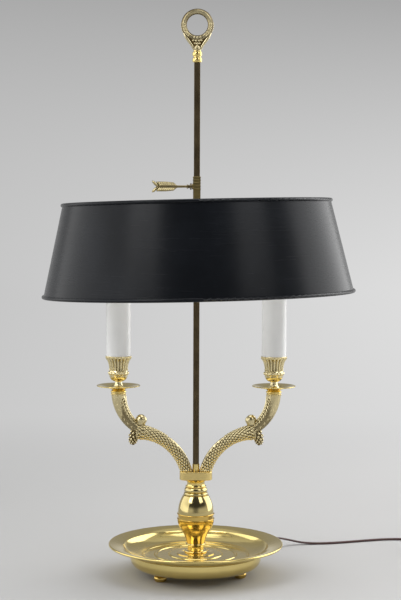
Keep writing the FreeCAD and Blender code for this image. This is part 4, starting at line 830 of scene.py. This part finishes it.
def makeArmMesh(name):
    s = armShape
    skin = s["skin"]
    root = (s["rootOut"], s["hubTop"], s["rootRadius"], 90)
    way = [root] + [hornStation(k / 20) for k in range(1, 21)]
    horn = sweptTube(name, [shrunk(station, skin) for station in way], 24)
    markGroundAndShade(horn, lambda co: 1.0)
    husk = sweptTube("husk", [shrunk(station, skin * 0.6) for station in s["mouth"]], 24)
    markGroundAndShade(husk, lambda co: 0.8)
    stalk = sweptTube("stalk", [stalkStation(k / 16) for k in range(17)], 28)
    # painted shade on the stalk's lower end and its inner side
    markGroundAndShade(stalk, lambda co: 0.55 if co.z < 188 or co.x < 92 and co.z < 218 else 0.15)
    bud = sweptTube("bud", s["bud"], 20, 0.92)
    # painted shade on the bud's base
    markGroundAndShade(bud, lambda co: 0.75 if co.z < 190 else 0.15)
    hook = sweptTube("hook", [shrunk(station, skin * 0.7) for station in s["hook"]], 16)
    markGroundAndShade(hook, lambda co: 0.75)
    ridge = []
    for k in range(13):
        share = k / 12
        station = hornStation(share * s["ridgeEnd"])
        ridge.append(above(station, 0.5 * share - 1.5, 2.3 - 1.1 * share ** 2))
    rib = sweptTube("rib", ridge, 12, s["ridgeSquash"])
    markGroundAndShade(rib, lambda co: 0.0)
    rail = [above(stalkStation(0.06 + 0.88 * k / 14), -0.2, 1.15) for k in range(15)]
    inner = sweptTube("inner", rail, 10)
    markGroundAndShade(inner, lambda co: 0.0)
    joinAll(horn, [husk, stalk, bud, hook, rib, inner])

    # scales in staggered rows on horn, husk and hook, with the horn's ridge left free
    scale = scaleMaster("scale", *s["scale"])
    places = []
    for row in range(s["hornRows"]):
        t = (row + 0.6) / s["hornRows"]
        station = shrunk(hornStation(t), skin)
        for k in range(s["hornAround"]):
            around = 360 * (k + row % 2 / 2) / s["hornAround"]
            inward = min(around, 360 - around)
            if t < s["ridgeEnd"] and inward < 26 - 8 * t:
                continue
            places.append(onTube(station, around, station[2] / 6.3, tilt=9, sink=0.15))
    for row, along in enumerate((0.10, 0.50, 0.90)):
        station = shrunk(between(s["mouth"], along), skin * 0.6)
        for k in range(s["huskAround"]):
            places.append(onTube(station, 360 * (k + row % 2 / 2) / s["huskAround"], 1.12, tilt=14))
    for row in range(6):
        station = shrunk(between(s["hook"], 0.16 + 0.118 * row), skin * 0.7)
        for k in range(s["hookAround"]):
            around = 360 * (k + row % 2 / 2) / s["hookAround"]
            places.append(onTube(station, around, station[2] / 6.0, tilt=10))
    addCopies(horn, scale, places)

    # leaflets in pairs on the front and back of the stalk, pointing up towards its inner edge
    leaf = scaleMaster("leaf", *s["leaf"])
    places = []
    for side in (1, -1):
        for k in range(11):
            station = stalkStation(0.05 + 0.078 * k)
            for around, twist, size in ((30, -26, 1.0), (58, 28, 0.9)):
                grown = size + 0.03 * k
                places.append(onTube(station, around * side, grown, tilt=5, twist=twist * side, sink=0.35))
        for k in range(7):
            station = stalkStation(0.10 + 0.11 * k)
            places.append(onTube(station, 112 * side, 0.8, tilt=3, twist=30 * side, sink=0.62))
    # lobes of the husk that hug the stalk's root
    places += [onTube(s["lobes"], 20 + 40 * k, 1.35, tilt=2, sink=0.4) for k in range(9)]
    addCopies(horn, leaf, places)

    # a ring of beads under the ferrule, and one round the arm's root on the hub
    bead = beadMaster("armBead", s["bead"])
    top = (s["stalkOut"], s["stalkTop"] - 1.2, s["stalkRadius"][1], 90)
    places = [onTube(top, 360 * k / s["topBeads"], sink=0.2) for k in range(s["topBeads"])]
    foot = (s["rootOut"], s["hubTop"] + 1.0, s["rootRadius"], 90)
    places += [onTube(foot, 360 * k / s["rootBeads"], 1.05, sink=0.1) for k in range(s["rootBeads"])]
    addCopies(horn, bead, places)
    return horn


armRight = makeArmMesh("armRight")
armLeft = placedCopy(armRight, halfTurn)
armLeft.name = "armLeft"
finishPiece(armRight, "arm_right", "cast")
finishPiece(armLeft, "arm_left", "cast")
print("arms modelled")


# Candle cups: a turned thistle with a ring of bosses, ribs up to a scalloped rim
cupShape = {
    "base": 234.2, "out": 96.5, "ribs": 20,
    # rings of beads: a bead's radius and flatness, the count, the ring's height and radius, size and shift
    "rings": [
        ((2.2, 0.75), 16, 19.4, 11.5, 1.0, 0), ((1.0, 0.8), 24, 23.4, 11.3, 0.8, 0),
        ((1.0, 0.8), 20, 39.5, 15.6, 0.8, 0.5),
    ],
    "outline": [
        (3.35, 0), (8.6, 0), (8.6, 1.4, -0.6), (4.4, 7.6, 0.3), (4.4, 8.8), (11.7, 17.2, -0.35),
        (11.7, 21.4, -0.3), (10.6, 26.6, 0.12), (12.7, 35.6, 0.08), (15.3, 38.0, 0.2), (15.9, 39.6),
        (16.1, 40.4), (15.9, 40.8), (15.35, 40.8), (15.35, 38.6), (3.35, 38.6),
    ],
    "rib": [
        (10.9, 23.4, 0.7, 92), (10.6, 26.4, 1.0, 86), (11.3, 31.0, 1.15, 80), (12.6, 35.2, 1.3, 68),
        (14.6, 37.8, 1.4, 52), (15.5, 39.4, 1.1, 75),
    ],
}


def makeCup(name):
    s = cupShape
    cup = turnedMesh(name, s["outline"], 80, 6, closed=True)
    markGroundAndShade(cup, lambda co: 0.5 if 22.5 < co.z < 37.6 and math.hypot(co.x, co.y) > 9 else 0.0)
    rib = sweptTube("cupRib", s["rib"], 8)
    markGroundAndShade(rib, lambda co: 0.0)
    addCopies(cup, rib, [Matrix.Rotation(math.tau * k / s["ribs"], 4, "Z") for k in range(s["ribs"])])
    for bead, count, height, out, size, shift in s["rings"]:
        places = [onTube((0, height, out, 90), 360 * (k + shift) / count, size) for k in range(count)]
        addCopies(cup, beadMaster("cupBead", *bead), places)
    return cup


for side, sign in (("Right", 1), ("Left", -1)):
    cup = makeCup("candleCup" + side)
    cup.data.transform(Matrix.Translation((cupShape["out"] * sign, 0, cupShape["base"])))
    finishPiece(cup, "candle_cup_" + side.lower(), "cast")
print("cups modelled")


# Ring finial: a turned ring, two smooth rails that meet in a neck, and bosses on the plate between them
finialShape = {
    "centre": 682.15, "ring": 16.35,
    "section": [(-3.5, -0.9), (-3.1, -1.8), (-1.6, -3.0), (0.8, -3.4), (2.6, -2.4), (3.5, 0)],
    "rail": [
        (-15.6, -7.0, 1.9, -84), (-15.2, -10.4, 2.0, -76), (-13.2, -15.4, 2.0, -62), (-9.6, -20.4, 1.9, -54),
        (-6.0, -25.4, 1.7, -62), (-4.0, -30.0, 1.5, -80),
    ],
    # height, half width and half thickness
    "plate": [
        (-13.0, 11.0, 2.1), (-17.0, 10.0, 2.4), (-21.0, 7.2, 2.8), (-25.0, 4.8, 3.6), (-31.0, 3.9, 3.9),
    ],
    "neck": [(0, -31.1), (4.6, -31.1), (4.9, -29.8, 0.5), (4.2, -28.6, 0.4), (4.0, -26), (0, -26)],
    # out, height, depth and size
    "bosses": [
        (-7.6, -14.6, 2.1, 0.95), (-3.8, -15.4, 2.3, 1.05), (0, -15.8, 2.4, 1.1), (3.8, -15.4, 2.3, 1.05),
        (7.6, -14.6, 2.1, 0.95), (-4.9, -18.9, 2.4, 0.95), (-1.7, -19.4, 2.6, 1.0), (1.7, -19.4, 2.6, 1.0),
        (4.9, -18.9, 2.4, 0.95), (-2.6, -22.6, 2.7, 0.9), (0, -23.0, 2.9, 1.15), (2.6, -22.6, 2.7, 0.9),
        (0, -26.8, 3.3, 1.5),
    ],
    "bossRadius": 1.55,
    "grainRings": (15.0, 17.2), "grainDepth": 3.0, "grainSize": 0.72,
    "edgeRing": 19.4, "edgeSize": 0.7,
}


def makePlate(stations):
    low, wide, thick = stations[0]
    plate = startMesh("plate", "circle", vertices=20, radius=1, fill_type="NGON", location=(0, 0, low))
    edit()
    bpy.ops.transform.resize(value=(wide, thick, 1), center_override=(0, 0, low))
    for nextLow, nextWide, nextThick in stations[1:]:
        bpy.ops.mesh.extrude_region_move(TRANSFORM_OT_translate={"value": (0, 0, nextLow - low)})
        ratio = (nextWide / wide, nextThick / thick, 1)
        bpy.ops.transform.resize(value=ratio, center_override=(0, 0, nextLow))
        low, wide, thick = nextLow, nextWide, nextThick
    leaveEdit()
    return plate


def makeFinial():
    s = finialShape
    outline = [(s["ring"] + out, low) for out, low in s["section"]]
    outline += [(r, -y) for r, y in reversed(outline[:-1])]
    ring = turnedMesh("ringFinial", outline, 96, 1, closed=True)
    ring.data.transform(Matrix.Rotation(math.radians(90), 4, "X"))
    # painted shade: the ring is darker on its inner and outer edges than on its middle band
    markGroundAndShade(ring, lambda co: 0.75 if abs(math.hypot(co.x, co.z) - s["ring"]) > 2 else 0.3)
    plate = makePlate(s["plate"])
    markGroundAndShade(plate, lambda co: 0.9)
    left = sweptTube("rail", s["rail"], 12)
    markGroundAndShade(left, lambda co: 0.0)
    neck = turnedMesh("neck", s["neck"], 32)
    markGroundAndShade(neck, lambda co: 0.2)
    joinAll(ring, [plate, left, placedCopy(left, halfTurn), neck])
    places = []
    for face in (1, -1):
        turn = Matrix.Rotation(math.radians(90 * face), 4, "X")
        for x, z, y, size in s["bosses"]:
            places.append(Matrix.Translation((x, -y * face, z)) @ turn @ Matrix.Scale(size, 4))
        # grains on the ring's lower sides
        for k in range(9):
            for row, radius in enumerate(s["grainRings"]):
                for hand in (1, -1):
                    angle = math.radians(-90 + hand * (36 + 7.0 * k + 3.5 * row))
                    spot = (radius * math.cos(angle), -s["grainDepth"] * face, radius * math.sin(angle))
                    places.append(Matrix.Translation(spot) @ turn @ Matrix.Scale(s["grainSize"], 4))
    # and on its edge
    for k in range(10):
        for hand in (1, -1):
            angle = math.radians(-90 + hand * (40 + 6.2 * k))
            spot = (s["edgeRing"] * math.cos(angle), 0, s["edgeRing"] * math.sin(angle))
            turn = Matrix.Rotation(math.pi / 2 - angle, 4, "Y")
            places.append(Matrix.Translation(spot) @ turn @ Matrix.Scale(s["edgeSize"], 4))
    addCopies(ring, beadMaster("finialBoss", s["bossRadius"]), places)
    ring.data.transform(Matrix.Translation((0, 0, s["centre"])))
    return ring


finishPiece(makeFinial(), "ring_finial", "ring")
print("finial modelled")


# Arrow key: a disc, a ringed neck and a shaft whose tail has slanting barbs on both sides
keyShape = {
    "height": 484.7, "barbs": 9, "first": 25.0, "step": 2.55, "lean": 42,
    "barb": (3.0, 9.4, 1.7),  # width, length and height
    "barbSize": 0.98, "barbGrow": 0.14, "barbOut": 3.6, "barbSink": 0.15,
    "lastGrow": 0.18, "lastShift": 2.0,
    "shaft": [
        (4.2, 0, 1.5, 0), (8.6, 0, 1.5, 0), (9.2, 0, 2.3, 0), (9.9, 0, 2.3, 0), (10.4, 0, 1.5, 0),
        (11.0, 0, 2.6, 0), (12.0, 0, 2.6, 0), (12.6, 0, 1.6, 0), (13.4, 0, 1.4, 0), (24.0, 0, 1.5, 0),
        (27.0, 0, 2.4, 0), (45.0, 0, 2.2, 0), (48.6, 0, 0.9, 0),
    ],
    "disc": [(0, 6.5), (3.5, 6.5), (4.1, 7.0, -0.4), (4.1, 7.8), (3.5, 8.3, -0.4), (0, 8.3)],
}


def makeKey():
    s = keyShape
    key = sweptTube("arrowKey", s["shaft"], 16)
    markGroundAndShade(key, lambda co: 0.6)
    disc = turnedMesh("keyDisc", s["disc"], 28, 2)
    disc.data.transform(Matrix.Rotation(math.radians(90), 4, "Y"))
    markGroundAndShade(disc, lambda co: 0.75)
    joinAll(key, [disc])
    lean = math.radians(s["lean"])
    places = []
    for face in (1, -1):
        for hand in (1, -1):
            out = Vector((math.cos(lean), 0, math.sin(lean) * hand))
            turn = facing(out, Vector((0, -face, 0)))
            for k in range(s["barbs"]):
                last = k == s["barbs"] - 1
                grown = min(k / (s["barbs"] - 1) * 2.4, 1)
                size = s["barbSize"] + s["barbGrow"] * grown + last * s["lastGrow"]
                x = s["first"] + s["step"] * k + last * s["lastShift"]
                spot = Vector((x, -s["barbSink"] * face, 0)) + out * (s["barbOut"] * size)
                places.append(Matrix.Translation(spot) @ turn @ Matrix.Scale(size, 4))
    addCopies(key, scaleMaster("barb", *s["barb"]), places)
    key.data.transform(Matrix.Translation((0, 0, s["height"])) @ halfTurn)
    return key


finishPiece(makeKey(), "arrow_key", "key", body="key")
print("key modelled")
